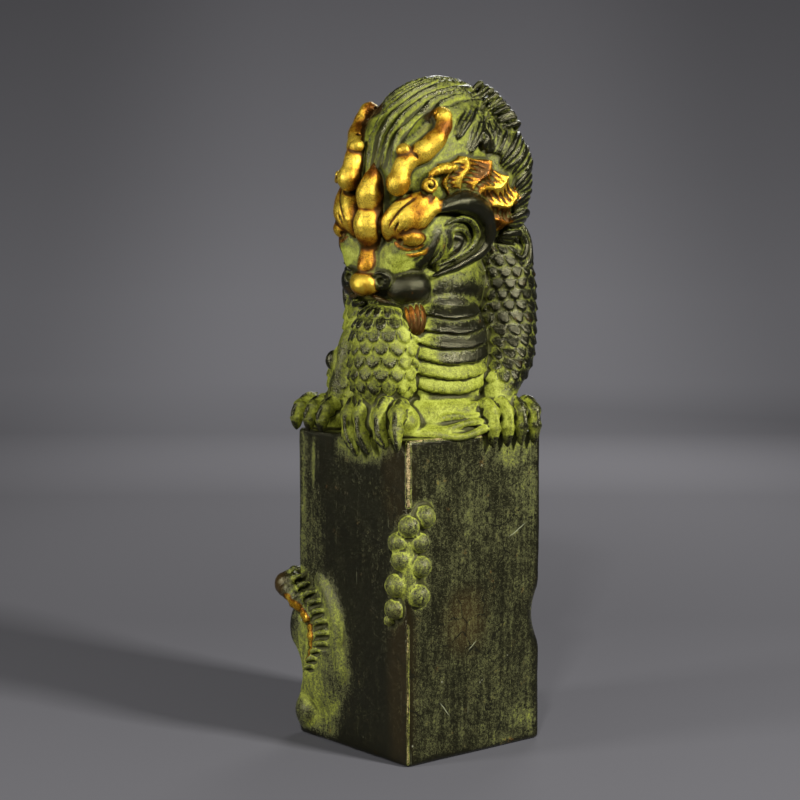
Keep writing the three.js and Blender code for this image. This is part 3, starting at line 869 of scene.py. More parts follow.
NOSTRIL_CURL = (
    [(2.8, 19.5, -16.2), (4.4, 19.0, -15.7), (5.6, 17.8, -16.8), (5.3, 17.8, -18.6), (4.0, 18.9, -19.1)],
    [0.4, 0.55, 0.55, 0.45],
)
BEARD = ([(0, 9, -22), (0, 5.5, -26), (0, 3, -31)], [3, 3.4, 0.9])
# The reddish tuft under the jaw, on the side that the photograph shows.
JAW_TUFT = (
    [(-8.2, 12.8, -22.6), (-9.8, 14.0, -24.6), (-10.6, 14.6, -26.6), (-9.8, 15.2, -28.4)],
    [1.9, 2.2, 1.7, 0.4],
)
# The whorl behind the cheek: its rolled rim, the fine turns inside it and its core.
WHORL_RIM = (
    [
        (12.6, 12.4, -2.2),
        (13.8, 8.4, -1.1),
        (14.5, 3.7, -0.9),
        (14.7, -0.8, -2.8),
        (14.7, -3.4, -5.7),
        (14.6, -4.1, -8.7),
        (14.3, -2.8, -11.3),
        (13.7, 1.5, -13.4),
        (12.9, 6.5, -15.0),
        (12.0, 11, -16.2),
    ],
    [1.1, 1.9, 2.5, 2.7, 2.4, 2.0, 1.6, 1.2, 0.9, 0.5],
)
WHORL_TURNS = [
    (
        [
            (13.4, 9.9, -5.6),
            (14.2, 5.6, -4.3),
            (14.4, 1.0, -5.2),
            (14.4, -1.0, -8.2),
            (14.0, 0.8, -10.9),
            (13.2, 5.0, -12.6),
            (12.0, 9.3, -14.2),
        ],
        0.75,
    ),
    (
        [
            (13.4, 8.6, -7.4),
            (14.0, 4.9, -6.6),
            (14.2, 2.2, -7.8),
            (14.0, 1.5, -9.6),
            (13.6, 3.0, -11.2),
            (12.8, 6.6, -12.9),
        ],
        0.6,
    ),
    ([(13.7, 6.8, -7.9), (13.9, 4.6, -8.8), (13.5, 5.6, -10.6), (12.8, 7.6, -11.8)], 1.1),
    ([(13.2, 9.6, -6.8), (13.2, 9.4, -9.2), (12.6, 9.8, -11.8), (11.4, 11.6, -14.0)], 0.7),
]
# The fan's middle, and its crests: their bearings at the outer edge, how much further round their
# inner ends lie, and how far each reaches.
FAN_CENTRE = (14.2, 5, -8)
FAN_CRESTS = [73, 93, 119, 136, 154, 169, 188]
FAN_LEAN = [0, 9, 19, 10, 4, 2, -2]
FAN_REACH = [15.0, 16.0, 17.0, 16.6, 17.2, 15.2, 13.0]
# Locks of the mane on one side: their points, width, thickness and lift.
SIDE_LOCKS = [
    ([(11.6, 4.6, 12.0), (11.6, 1.6, 15.4), (10.2, -2.6, 17.6), (8.8, -6.6, 19.2)], 1.9, 0.55, 0.4),
    ([(13.0, 1.8, 9.2), (12.8, -0.8, 12.6), (11.6, -3.8, 15.4), (10.2, -6.2, 17.6)], 2.0, 0.55, 0.4),
    ([(13.2, -2.6, 9.4), (13.2, -4.2, 12.4), (12.2, -6.2, 15.6)], 2.2, 0.6, 0.2),
    ([(14.6, -4.6, 9.2), (14.6, -6.4, 12.0), (13.4, -8.0, 14.8)], 2.2, 0.6, 0.2),
    ([(15.8, -6.2, 8.6), (15.8, -8.6, 11.6), (14.2, -11.2, 14.0)], 2.2, 0.6, 0.3),
    ([(15.9, -6.6, 6.2), (16.9, -9.6, 9.2), (15.8, -13.0, 11.6), (13.2, -16.6, 11.4)], 3.0, 0.9, 0.55),
    ([(16.8, -9.4, 4.2), (17.6, -12.2, 7.2), (15.8, -16, 8.6), (12.4, -19.6, 7.8)], 3.0, 0.9, 0.5),
    ([(17.2, -9.8, 1.0), (17.6, -13, 3.4), (15.4, -17.4, 4.2), (12.2, -20.4, 3.2)], 3.0, 0.9, 0.5),
    ([(17.0, -10.2, -2.2), (17.1, -13.8, -0.6), (14.7, -18, -0.6), (11.2, -20.8, -1.6)], 3.0, 0.9, 0.5),
    ([(16, -9.8, -5.4), (16.5, -12.9, -4.5), (14.6, -16.9, -5.2), (12.0, -19.2, -7.0)], 3.0, 0.9, 0.8),
    ([(14.3, -9.6, -8.6), (15.0, -13, -8.6), (13, -16.4, -10.5), (10.2, -17.6, -13.5)], 2.8, 0.9, 0.8),
    ([(12.3, -9.2, -12), (12.2, -12.6, -13), (9.4, -14.8, -16)], 2.4, 0.8, 0.6),
]
# The short combed teeth of the crest, from its inner arc to its outer one.
CREST_INNER = [
    (5.8, -7.5, 21.2),
    (9.0, -6.9, 19.4),
    (10.9, -7.2, 18.0),
    (12.6, -7.9, 16.4),
    (14.0, -8.6, 14.4),
]
CREST_OUTER = [
    (6.4, -11.0, 21.6),
    (9.2, -11.4, 20.4),
    (11.2, -11.8, 18.6),
    (13.0, -12.4, 16.4),
    (14.4, -13.4, 14.0),
]
CREST_TEETH = 10
# How far the crown's strands drift, stand apart and reach to the side, by the angle over the head,
# which is 0 at the brow and 90 at the top.
CROWN_DRIFT = ([0, 20, 35, 50, 70, 90, 180], [0, 0.3, -1.0, -3.2, -4.8, -5.6, -7.0])
CROWN_GAP = ([0, 30, 50, 70, 180], [2.7, 2.6, 2.0, 1.6, 1.6])
CROWN_REACH = ([0, 25, 36, 46, 54, 62, 80, 95, 180], [4.4, 4.8, 5.6, 6.8, 8.4, 9.6, 11, 15, 22])


def crown_relief(px, py, pz):
    """Strands that rise from the brow and sweep back over the crown, drifting to the left and
    closing up as they go."""
    over = np.degrees(np.arctan2(pz, py))
    sideways = 15 * np.arcsin(np.clip(px, -1, 1))
    gap = np.interp(over, *CROWN_GAP)
    label = (sideways - np.interp(over, *CROWN_DRIFT)) / gap
    label = label + 0.22 * np.sin(1.7 * label + over / 25) + 0.1 * np.sin(over / 9 + 2 * label)
    ridge = 1 - np.clip(np.abs(2 * np.mod(label, 1) - 1) / 0.78, 0, 1) ** 1.7
    strand = 0.8 * gap * (ridge - 0.85) + 0.14 * (strands(3 * label, 2) - 0.5)
    reach = np.interp(over, *CROWN_REACH)
    return strand * (1 - fade(np.abs(sideways), reach - 0.7, reach + 0.7))


def crown_grooves():
    """The deeper half of the grooves between the strands, where black shade is painted."""
    centre, radii = np.array(CROWN[0]), np.array(CROWN[1])

    def distance(x, y, z):
        return 0.9 + crown_relief(*((v - centre[k]) / radii[k] for k, v in enumerate((x, y, z))))

    return Shape(centre - radii, centre + radii, distance)


def mane_relief(px, py, pz):
    bearing = np.degrees(np.arctan2(px, -py))
    down = (1 - pz) * 3.6
    tuft = scales(bearing / 26, down)
    fine = 0.3 * np.cos(np.radians(bearing) * 46 + 3 * down)
    beside = 1 - 0.95 * fade(py, -0.15, 0.1) * fade(pz, 0.5, 0.38)
    return (1.5 * (tuft - 0.45) + fine * (0.3 + tuft)) * beside


def head():
    field = Field(ON_HEAD, (-20, -27.5, -34), (20, 23.5, 26.5), HEAD_PITCH)
    field.add(ball(*CROWN, relief=crown_relief), 0)
    # The dark paint is painted shade: it blackens the deeper half of the crown's grooves.
    field.tint(crown_grooves(), {"dark": 0.86}, 0.45)
    field.add(ball(*MANE, relief=mane_relief), 0.3)
    field.tint(ball(*MANE), {"bare": 0.36}, 3.5)
    for centre, radii, blend in FACE:
        field.add(ball(centre, radii), blend)
    for side in (-1, 1):
        field.add(ball_on(side, CHEEK), 1.5)
        for points, width, thickness, lift in SIDE_LOCKS:
            for strand in lock(on_side(side, points), width, thickness, lift, MANE[0]):
                field.add(strand, 0.05, {"bare": 0.5}, 0.3)
        whorl_and_fan(field, side)
        crest(field, side)
        eye_and_brow(field, side)
        cheek_folds(field, side)
        horn(field, side)
    muzzle(field)
    for side in (-1, 1):
        nostril_and_lips(field, side)
    beard_and_tuft(field)
    x, y, z = field.everywhere()
    field.value -= 0.06 * uneven(x, y, z, 3.3)
    return field


def crest(field, side):
    inner, outer = smooth_path(CREST_INNER), smooth_path(CREST_OUTER)
    for share in np.linspace(0, 1, CREST_TEETH):
        i = round(share * (len(inner) - 1))
        middle = (0.35 * inner[i] + 0.65 * outer[i]) * 1.09
        tooth = limb(on_side(side, [inner[i], middle, outer[i]]), [0.4, 0.72, 0.5])
        field.add(tooth, 0.03, {"bare": 0.45}, 0.3)


def horn(field, side):
    def bumps(share, angle):
        return 0.16 * np.sin(share * 17 + 1) + 0.08 * np.sin(share * 43)

    field.add(limb_on(side, HORN, relief=bumps, ends=8), 0.35, GOLD, 1.3)
    field.add(ball_on(side, HORN_BULB), 0.5, GOLD, 1.3)
    field.add(ball_on(side, HORN_KNOB), 0.4, GOLD, 1.3)
    field.carve(ball_on(side, HORN_CROOK), 0.3)
    field.carve(limb(on_side(side, HORN_HOLLOW), [0.9, 1.7, 1.6, 0.7]), 0.8)
    field.stain(HORN_STAINS, side)
    for y, z in HORN_CUTS:
        cut = [(9.2, y + 0.6, z - 1.6), (8.4, y + 1.9, z + 0.2), (6.4, y + 1.2, z + 1.8)]
        field.carve(limb(on_side(side, cut), [0.2, 0.35, 0.2]), 0.3)


def eye_and_brow(field, side):
    field.add(ball_on(side, EYE), 1.2, {"gold": 1.0, "brown": 0.2})
    field.carve(ball_on(side, PUPIL), 0.15)
    field.add(limb_on(side, BROW_LEAF), 0.6, GOLD, 1.3)
    for flame in BROW_FLAMES:
        field.add(limb_on(side, flame), 1.1, GOLD, 1.3)
    for points in BROW_GROOVES:
        field.carve(limb(on_side(side, points), [0.1, 0.22, 0.22, 0.1]), 0.25)
    for points, radius in LIDS:
        lid = limb(on_side(side, points), [radius, radius, radius, 0.6 * radius])
        field.add(lid, 0.15, {"gold": 0.5}, 0.4)
    field.stain(BROW_STAINS, side)
    outward = (side * 0.72, 0.66, 0.25)
    field.add(ball_on(side, BROW_KNOT), 0.15, GOLD)
    field.add(spiral((side * 11.9, 13.5, 2.8), outward, 1.7, 1.3, 0.5, start=90), 0.1, GOLD)


def cheek_folds(field, side):
    """The ribbon beside the brow, the cheekbone and the fold under it."""

    def ribs(share, angle):
        return 0.15 * np.sin(share * 70)

    field.add(limb_on(side, RIBBON, relief=ribs), 0.5, {"gold": 0.75}, 0.8)
    field.add(limb_on(side, CHEEKBONE), 0.6, {"bare": 0.6}, 1.2)
    field.add(limb_on(side, CHEEK_FOLD), 0.3)


def fan_point(side, angle, reach, out):
    return (
        side * (FAN_CENTRE[0] + out),
        FAN_CENTRE[1] + reach * math.cos(math.radians(angle)),
        FAN_CENTRE[2] + reach * math.sin(math.radians(angle)),
    )


def side_of(ellipsoid, y, z):
    """How far out an ellipsoid's side lies at some y and z."""
    centre, radii = ellipsoid
    left_over = 1 - ((y - centre[1]) / radii[1]) ** 2 - ((z - centre[2]) / radii[2]) ** 2
    return radii[0] * np.sqrt(np.maximum(left_over, 0))


def fan(side):
    """A ribbed fan behind the whorl: hollow panels with fine cross ribs between raised crests."""
    order = np.arange(len(FAN_CRESTS))

    def distance(x, y, z):
        dy, dz = y - FAN_CENTRE[1], z - FAN_CENTRE[2]
        r = np.sqrt(dy * dy + dz * dz)
        angle = np.mod(np.degrees(np.arctan2(dz, dy)) + 90, 360) - 90
        inward = np.clip((16.5 - r) / 7, 0, 1)
        angle = angle + inward * np.interp(angle, FAN_CRESTS, FAN_LEAN) + 2.5 * np.sin(1.1 * (r - 10))
        place = np.interp(angle, FAN_CRESTS, order)
        share = place - np.floor(place)
        near = np.minimum(share, 1 - share)
        outer = np.interp(angle, FAN_CRESTS, FAN_REACH) + 0.7 * (1 - np.sin(np.pi * share))
        under = np.maximum(0.5 + side_of(MANE, y, z), 1.3 + side_of(CROWN, y, z))
        top = under + 1.3 * (1 - near * 2) ** 1.6
        top = top + 0.13 * np.sin(6.2 * r) * fade(near, 0.08, 0.22) - 0.02 * (r - 13) ** 2
        edge = np.maximum(FAN_CRESTS[0] - angle, angle - FAN_CRESTS[-1]) * r / 57
        sides = np.maximum(np.maximum(r - outer, 8.5 - r), edge)
        return 0.75 * np.maximum(np.maximum(side * x - top, top - 5 - side * x), sides)

    low, high = np.array([9, -14.5, -14]), np.array([20, 12, 12])
    if side < 0:
        low[0], high[0] = -20, -9
    return Shape(low, high, distance)


def whorl_and_fan(field, side):
    field.add(fan(side), 0.15, {"gold": 0.9, "brown": 0.1}, 0.6)
    field.tint(ball(fan_point(side, 112, 14.5, 1.5), (2, 1.4, 2.4)), {"brown": 0.8}, 1.6)
    field.tint(ball(fan_point(side, 165, 13.5, 1.5), (2, 1.4, 2.4)), {"brown": 0.9}, 1.6)
    for bearing in range(-50, 91, 20):
        a = math.radians(bearing)
        away = np.array([0, -math.sin(a), math.cos(a)])
        foot = np.array([14.2, -2.6, 9.6]) + 0.6 * away
        tip = np.array([12.9, -3.4, 10.6]) + (3.6 + 0.8 * math.cos(5 * a)) * away
        middle = (foot + tip) / 2 + (1.1, 0, 0)
        field.add(limb(on_side(side, [foot, middle, tip]), [0.6, 0.55, 0.2]), 0.05, {"bare": 0.8}, 0.4)
    field.carve(ball_on(side, WHORL_CUP), 0.6)
    field.stain(WHORL_CUP_STAINS, side)

    def worked(share, angle):
        return 0.35 * (strands(angle / 120 + 0.4) - 0.6) + 0.08 * np.sin(share * 40)

    rim = limb_on(side, WHORL_RIM, out=(side, 0, 0), relief=worked, ends=8)
    field.add(rim, 0.1, {"bare": 0.93}, 0.5)
    for points, radius in WHORL_TURNS:
        turn = limb(on_side(side, points), [0.6 * radius, radius, radius, 0.5 * radius])
        field.add(turn, 0.05, {"bare": -1.0}, 0.3)
    field.stain(WHORL_CORE_STAINS, side)


def muzzle(field):
    for side in (-1, 1):
        field.add(ball_on(side, MUZZLE_SIDE), 2.0)
        field.stain(MUZZLE_STAINS, side)
    field.add(limb(*BRIDGE), 1.0, {"gold": 0.9, "brown": 0.35}, 1.4)
    field.add(limb(*BROW_RIDGE), 0.4, GOLD, 1.4)
    field.add(ball(*NOSE), 0.5, GOLD, 1.0)
    field.add(ball(*NOSE_TIP), 1.0, GOLD, 1.0)
    field.stain(NOSE_STAINS)


def nostril_and_lips(field, side):
    """The lips reach further out on the side that the photograph shows."""
    wide = 1.0 if side < 0 else 0.8
    field.add(ball((side * 7.0 * wide, 12.7, -18.9), (4.9 * wide, 4.9, 4.1)), 0.4, {"bare": 0.9}, 0.8)
    field.add(ball_on(side, NOSTRIL), 0.25, {"bare": 0.4, "gold": -0.8}, 1.1)
    field.add(limb_on(side, NOSTRIL_CURL), 0.12, {"bare": 0.5})
    field.carve(ball_on(side, NOSTRIL_PIT), 0.15)
    field.add(ball((side * 10.4 * wide, 8.4, -19.4), 1.15), 0.15, {"bare": 1.0}, 0.5)
    lip = [(0.8, 18.4, -20.5), (5.0, 16.6, -22.2), (8.4 * wide, 13.2, -22.6), (10.6 * wide, 9.6, -20.8)]
    field.add(limb(on_side(side, lip), [0.5, 0.65, 0.65, 0.5]), 0.2, {"bare": 0.6})
    mouth = [(0.5, 18.0, -21.5), (5.0, 16.0, -23.0), (8.4 * wide, 12.6, -23.2), (10.4 * wide, 9.0, -21.6)]
    field.carve(limb(on_side(side, mouth), [0.4, 0.5, 0.5, 0.4]), 0.1)
    lower = [(0.8, 16.9, -22.6), (5.2, 15.2, -23.8), (8.2 * wide, 12, -24.0), (9.6 * wide, 8.4, -22.4)]
    field.add(limb(on_side(side, lower), [0.6, 0.7, 0.7, 0.5]), 0.3)


def beard_and_tuft(field):
    def hairy(share, angle):
        return 0.4 * strands(angle / 32 + 0.3 * np.sin(4 * share))

    beard = limb(*BEARD, out=(0, 1, 0), relief=hairy)
    field.add(beard, 0.6, {"brown": 1.0, "gold": 0.3, "bare": 0.5})
    tuft = limb(*JAW_TUFT, out=(-0.6, 0.8, 0), relief=hairy, ends=6)
    field.add(tuft, 0.5, {"gold": 0.5, "brown": 0.5}, 0.5)


# From fields to meshes.


def normals_of(points, faces):
    flat = np.cross(points[faces[:, 2]] - points[faces[:, 0]], points[faces[:, 3]] - points[faces[:, 1]])
    total = np.zeros_like(points)
    for k in range(4):
        for axis in range(3):
            total[:, axis] += np.bincount(faces[:, k], flat[:, axis], len(points))
    return total / np.maximum(np.linalg.norm(total, axis=1), 1e-9)[:, None]


def relaxed(points, faces, times):
    """The points after drifting towards their neighbours some times over."""
    a = faces.ravel()
    b = np.roll(faces, 1, axis=1).ravel()
    ends = np.concatenate([a, b])
    others = np.concatenate([b, a])
    count = np.bincount(ends, minlength=len(points))
    for _ in range(times):
        middle = np.stack([np.bincount(ends, points[others, k], len(points)) for k in range(3)], 1)
        points = 0.5 * points + 0.5 * middle / count[:, None]
    return points


# What is rubbed on, and the painted shade called dark, as an amount for every point.
FINISHES = ("gold", "brown", "powder", "bare", "worn", "dark")
# How much metal ahead of a point counts towards a hollow: distances and their shares.
WALLS_AHEAD = ((0.5, 0.35), (1.2, 0.35), (2.6, 0.2))


def finish_at(field, fields, points, faces):
    """Four amounts for every point: gold, brown, powder and depth of hollow. Bare bronze has a
    powder of 0, and metal that is worn to a tan edge has a powder above 1. The depth of hollow
    also marks where the material paints shade."""
    normals = normals_of(points, faces)
    places = to_part(points, field.placed)
    outward = normals @ field.placed[0].T
    buried = np.zeros(len(points))
    for reach, weight in WALLS_AHEAD:
        ahead = places + outward * reach
        nearest = np.full(len(points), FAR)
        for other in fields:
            nearest = np.minimum(nearest, other.sample(from_part(ahead, other.placed)))
        buried += weight * np.clip(1 - nearest / reach, 0, 1)
    even = relaxed(points, faces, 2)
    smooth = relaxed(even, faces, 6)
    smoother = relaxed(smooth, faces, 30)
    edge = np.einsum("ij,ij->i", points - even, normals)
    fine = np.einsum("ij,ij->i", points - smooth, normals)
    large = np.einsum("ij,ij->i", points - smoother, normals)
    hollow = np.clip(0.35 + 0.75 * buried - 2.2 * edge - 1.1 * fine - 0.75 * large, 0, 1)
    amounts = {name: np.zeros(len(points)) for name in FINISHES}
    x, y, z = points.astype(np.float32).T
    for shape, paint, soft in field.painted:
        near = np.all((points > shape.low - soft) & (points < shape.high + soft), axis=1)
        if not near.any():
            continue
        weight = 1 - fade(shape.distance(x[near], y[near], z[near]), -0.1 * soft, soft)
        for name, amount in paint.items():
            if amount < 0:
                amounts[name][near] *= 1 + amount * weight
            else:
                amounts[name][near] = np.maximum(amounts[name][near], amount * weight)
    powder = np.maximum(amounts["powder"], powder_by_place(places))
    powder = powder * (1 - amounts["bare"])
    powder = powder + 1.6 * amounts["worn"]
    # The dark paint deepens the hollow, which the material paints as black shade.
    hollow = np.maximum(hollow, amounts["dark"])
    return np.stack([amounts["gold"], amounts["brown"], powder, hollow], 1)


def powder_by_place(places):
    """How much green powder lies on each region, from 0 to 1."""
    x, y, z = places.T
    height = z - BLOCK_HEIGHT
    figure = 0.58 + 0.02 * fade(height, 36, 42) * fade(np.hypot(x + 1, y + 2), 24, 20)
    figure -= 0.32 * fade(x, 7, 12) * fade(height, 6, 10) * fade(height, 44, 38)
    arm = fade(-x, 6, 10) * fade(height, 40, 34)
    inner = 0.70 * fade(x, -18.5, -11) * fade(height, 33, 20)
    outer = 0.16 * fade(height, 14, 28) * fade(-x, 10, 16)
    figure += arm * (inner - outer)
    front = fade(-y, 9, 13) * fade(np.abs(x + 1), 11, 8)
    figure += front * (-0.40 * fade(height, 14, 18) * fade(height, 33, 30) + 0.42 * fade(height, 17, 11))
    figure -= 0.12 * fade(y, 4, 10)
    block = 0.31 + 0.04 * fade(z, 12, 0) + 0.04 * fade(x, 8, 17)
    left_face = fade(-x, HALF - 1.5, HALF - 0.5)
    block = block * (1 - left_face) + left_face * (0.13 + 0.30 * fade(y, 8, 19))
    return np.clip(np.where(height > -0.4, figure, block), 0, 1)


def thin_out(made):
    """Joins the flattest faces of a piece that has more triangles than MOST_TRIANGLES."""
    triangles = 2 * len(made.data.polygons)
    if triangles <= MOST_TRIANGLES:
        return
    fewer = made.modifiers.new("fewer", "DECIMATE")
    fewer.ratio = MOST_TRIANGLES / triangles
    dense = made.data
    graph = bpy.context.evaluated_depsgraph_get()
    made.data = bpy.data.meshes.new_from_object(made.evaluated_get(graph))
    made.modifiers.clear()
    bpy.data.meshes.remove(dense)


def piece(name, field, fields, material):
    """A field's surface as a named mesh that stands for the casting."""
    points, faces = field.skin()
    finish = finish_at(field, fields, points, faces)
    mesh = bpy.data.meshes.new(name)
    mesh.vertices.add(len(points))
    mesh.vertices.foreach_set("co", (to_part(points, field.placed) / 1000).astype(np.float32).ravel())
    mesh.loops.add(faces.size)
    mesh.loops.foreach_set("vertex_index", faces.astype(np.int32).ravel())
    mesh.polygons.add(len(faces))
    mesh.polygons.foreach_set("loop_start", np.arange(0, faces.size, 4, dtype=np.int32))
    mesh.update(calc_edges=True)
    mesh.shade_smooth()
    layer = mesh.color_attributes.new("finish", "FLOAT_COLOR", "POINT")
    layer.data.foreach_set("color", finish.astype(np.float32).ravel())
    mesh.materials.append(material)
    made = bpy.data.objects.new(name, mesh)
    bpy.context.scene.collection.objects.link(made)
    thin_out(made)
    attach(made, "root")
    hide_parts("qilin_seal")


# The finish.


class Nodes:
    """A short way to write a material's nodes."""

    def __init__(self, material):
        material.use_nodes = True
        self.tree = material.node_tree
        self.tree.nodes.clear()

    def add(self, kind, **settings):
        node = self.tree.nodes.new(kind)
        for name, value in settings.items():
            setattr(node, name, value)
        return node

    def join(self, source, target):
        self.tree.links.new(source, target)

    def feed(self, target, value):
        if isinstance(value, (int, float, tuple)):
            target.default_value = value
        else:
            self.join(value, target)

    def math(self, operation, a, b=0.0, c=None, clamp=False):
        node = self.add("ShaderNodeMath", operation=operation, use_clamp=clamp)
        self.feed(node.inputs[0], a)
        self.feed(node.inputs[1], b)
        if c is not None:
            self.feed(node.inputs[2], c)
        return node.outputs[0]

    def times(self, a, b):
        return self.math("MULTIPLY", a, b)

    def plus(self, base, value, amount):
        """base with amount times value added."""
        return self.math("MULTIPLY_ADD", value, amount, base)

    def sway(self, base, noise, amount):
        """base with amount times a noise's swing round 0.5 added."""
        return self.plus(base, self.math("SUBTRACT", noise, 0.5), amount)

    def noise(self, place, scale, detail, roughness=0.6):
        node = self.add("ShaderNodeTexNoise")
        self.join(place, node.inputs["Vector"])
        node.inputs["Scale"].default_value = scale
        node.inputs["Detail"].default_value = detail
        node.inputs["Roughness"].default_value = roughness
        return node.outputs["Fac"]

    def warped(self, place, scale, amount):
        """The place, pushed about by a noise."""
        noise = self.add("ShaderNodeTexNoise")
        self.join(place, noise.inputs["Vector"])
        noise.inputs["Scale"].default_value = scale
        push = self.add("ShaderNodeVectorMath", operation="SCALE")
        self.join(noise.outputs["Color"], push.inputs[0])
        push.inputs["Scale"].default_value = amount
        moved = self.add("ShaderNodeVectorMath", operation="ADD")
        self.join(place, moved.inputs[0])
        self.join(push.outputs[0], moved.inputs[1])
        return moved.outputs[0]

    def stretched(self, place, factors):
        node = self.add("ShaderNodeVectorMath", operation="MULTIPLY")
        self.join(place, node.inputs[0])
        node.inputs[1].default_value = factors
        return node.outputs[0]

    def dot(self, place, direction):
        node = self.add("ShaderNodeVectorMath", operation="DOT_PRODUCT")
        self.join(place, node.inputs[0])
        node.inputs[1].default_value = direction
        return node.outputs["Value"]

    def ramp(self, value, start, end, low=0.0, high=1.0):
        node = self.add("ShaderNodeMapRange", interpolation_type="SMOOTHSTEP")
        self.join(value, node.inputs["Value"])
        for name, number in (("From Min", start), ("From Max", end), ("To Min", low), ("To Max", high)):
            node.inputs[name].default_value = number
        return node.outputs["Result"]

    def levels(self, value, stops):
        """A run of colours from 0 to 1."""
        node = self.add("ShaderNodeValToRGB")
        self.join(value, node.inputs[0])
        elements = node.color_ramp.elements
        while len(elements) < len(stops):
            elements.new(0.5)
        for element, (position, colour) in zip(elements, stops):
            element.position = position
            element.color = colour
        return node.outputs["Color"]

    def mix(self, share, a, b):
        node = self.add("ShaderNodeMix", data_type="RGBA")
        self.feed(node.inputs["Factor"], share)
        self.feed(node.inputs[6], a)
        self.feed(node.inputs[7], b)
        return node.outputs[2]

    def blend(self, share, a, b):
        node = self.add("ShaderNodeMix", data_type="FLOAT")
        self.feed(node.inputs["Factor"], share)
        self.feed(node.inputs[2], a)
        self.feed(node.inputs[3], b)
        return node.outputs[0]


# Colours from the least to the most: patina on the beast and on the block, and gold.
PATINA = [
    (0.00, (0.003, 0.003, 0.001, 1)),
    (0.18, (0.006, 0.006, 0.002, 1)),
    (0.36, (0.030, 0.031, 0.009, 1)),
    (0.56, (0.088, 0.098, 0.012, 1)),
    (0.76, (0.180, 0.198, 0.014, 1)),
    (1.00, (0.310, 0.340, 0.048, 1)),
]
BLOCK_PATINA = [
    (0.00, (0.003, 0.003, 0.001, 1)),
    (0.18, (0.008, 0.008, 0.003, 1)),
    (0.36, (0.032, 0.032, 0.013, 1)),
    (0.56, (0.066, 0.070, 0.022, 1)),
    (0.76, (0.150, 0.165, 0.022, 1)),
    (1.00, (0.300, 0.330, 0.048, 1)),
]
# The gold's darkest stops also give painted shade where the gold runs into hollows.
GILDING = [
    (0.00, (0.050, 0.018, 0.002, 1)),
    (0.30, (0.180, 0.055, 0.004, 1)),
    (0.60, (0.350, 0.170, 0.008, 1)),
    (1.00, (0.520, 0.360, 0.035, 1)),
]
BROWN_FILM = (0.060, 0.034, 0.008, 1)
WORN_DARK = (0.10, 0.065, 0.024, 1)
WORN_PALE = (0.46, 0.35, 0.17, 1)
# The black of the painted shade in the deepest hollows.
GROOVE_SHADE_COLOUR = (0.006, 0.005, 0.002, 1)
PIT = (0.30, 0.30, 0.20, 1)
CRACK = (0.004, 0.004, 0.002, 1)
SCRATCH = (0.22, 0.23, 0.13, 1)
PALE_SCRATCH = (0.26, 0.27, 0.16, 1)
# Single scratches and cuts in the face at -Y, by x and z of their ends in millimetres.
PALE_SCRATCHES = [((9.2, 45.6), (15.2, 49.0)), ((-10.2, 13.1), (-6.8, 9.2)), ((-2.0, 22.6), (0.6, 24.8))]
DARK_CUTS = [((-14.7, 56.1), (-10.0, 58.4)), ((-8.6, 55.9), (-6.8, 50.1)), ((6.0, 18.0), (11.5, 20.6))]


class Surface:
    """What the finish is worked out from: the place, the amounts kept on the mesh, and noises from
    broad to fine. figure is 0 on the block and 1 on the beast."""

    def __init__(self, n):
        self.place = n.add("ShaderNodeTexCoord").outputs["Object"]
        finish = n.add("ShaderNodeVertexColor", layer_name="finish")
        split = n.add("ShaderNodeSeparateColor")
        n.join(finish.outputs["Color"], split.inputs[0])
        self.gold, self.brown, self.powder = split.outputs
        self.hollow = finish.outputs["Alpha"]
        self.broad = n.noise(self.place, 70, 5)
        self.patchy = n.noise(self.place, 330, 6, 0.65)
        self.grainy = n.noise(self.place, 1500, 4, 0.75)
        self.fine = n.noise(self.place, 3600, 3, 0.7)
        self.streaky = n.noise(n.stretched(self.place, (1.0, 1.0, 0.06)), 1300, 5, 0.7)
        up = n.dot(self.place, (0, 0, 1))
        self.figure = n.ramp(up, (BLOCK_HEIGHT - 4.5) / 1000, (BLOCK_HEIGHT + 1.5) / 1000)


def patinated(n, s):
    """The patina runs from bare dark bronze through an olive film to pale powder. Hollows hold
    more of it. Gives its colour, and how much of it has settled."""
    film = n.math("SUBTRACT", s.powder, n.ramp(s.powder, 0.95, 1.15))
    hold = n.plus(1.5, s.powder, -1.1)
    settled = n.plus(film, n.math("SUBTRACT", s.hollow, 0.42), hold)
    speckle = n.math("SUBTRACT", n.ramp(s.fine, 0.36, 0.64), 0.5)
    speckle = n.sway(speckle, n.ramp(s.grainy, 0.34, 0.66), 1.1)
    speckle = n.sway(speckle, s.streaky, n.blend(s.figure, 2.6, 1.4))
    wander = n.math("ADD", n.math("SUBTRACT", s.patchy, 0.5), n.math("SUBTRACT", s.broad, 0.5))
    settled = n.plus(settled, speckle, n.blend(s.figure, 0.27, 0.22))
    settled = n.plus(settled, wander, n.blend(s.figure, 0.50, 0.75))
    colour = n.mix(s.figure, n.levels(settled, BLOCK_PATINA), n.levels(settled, PATINA))
    colour = n.mix(n.times(n.ramp(s.brown, 0.1, 1.0), 0.55), colour, BROWN_FILM)
    return n.mix(worn(n, s), colour, n.mix(n.ramp(s.fine, 0.4, 0.6), WORN_DARK, WORN_PALE)), settled


def worn(n, s):
    """Where the metal is worn to a tan edge, in grains and patches."""
    amount = n.sway(n.sway(s.powder, s.grainy, 2.4), s.patchy, 3.5)
    return n.times(n.ramp(amount, 1.0, 1.6), n.ramp(s.powder, 1.0, 1.2))


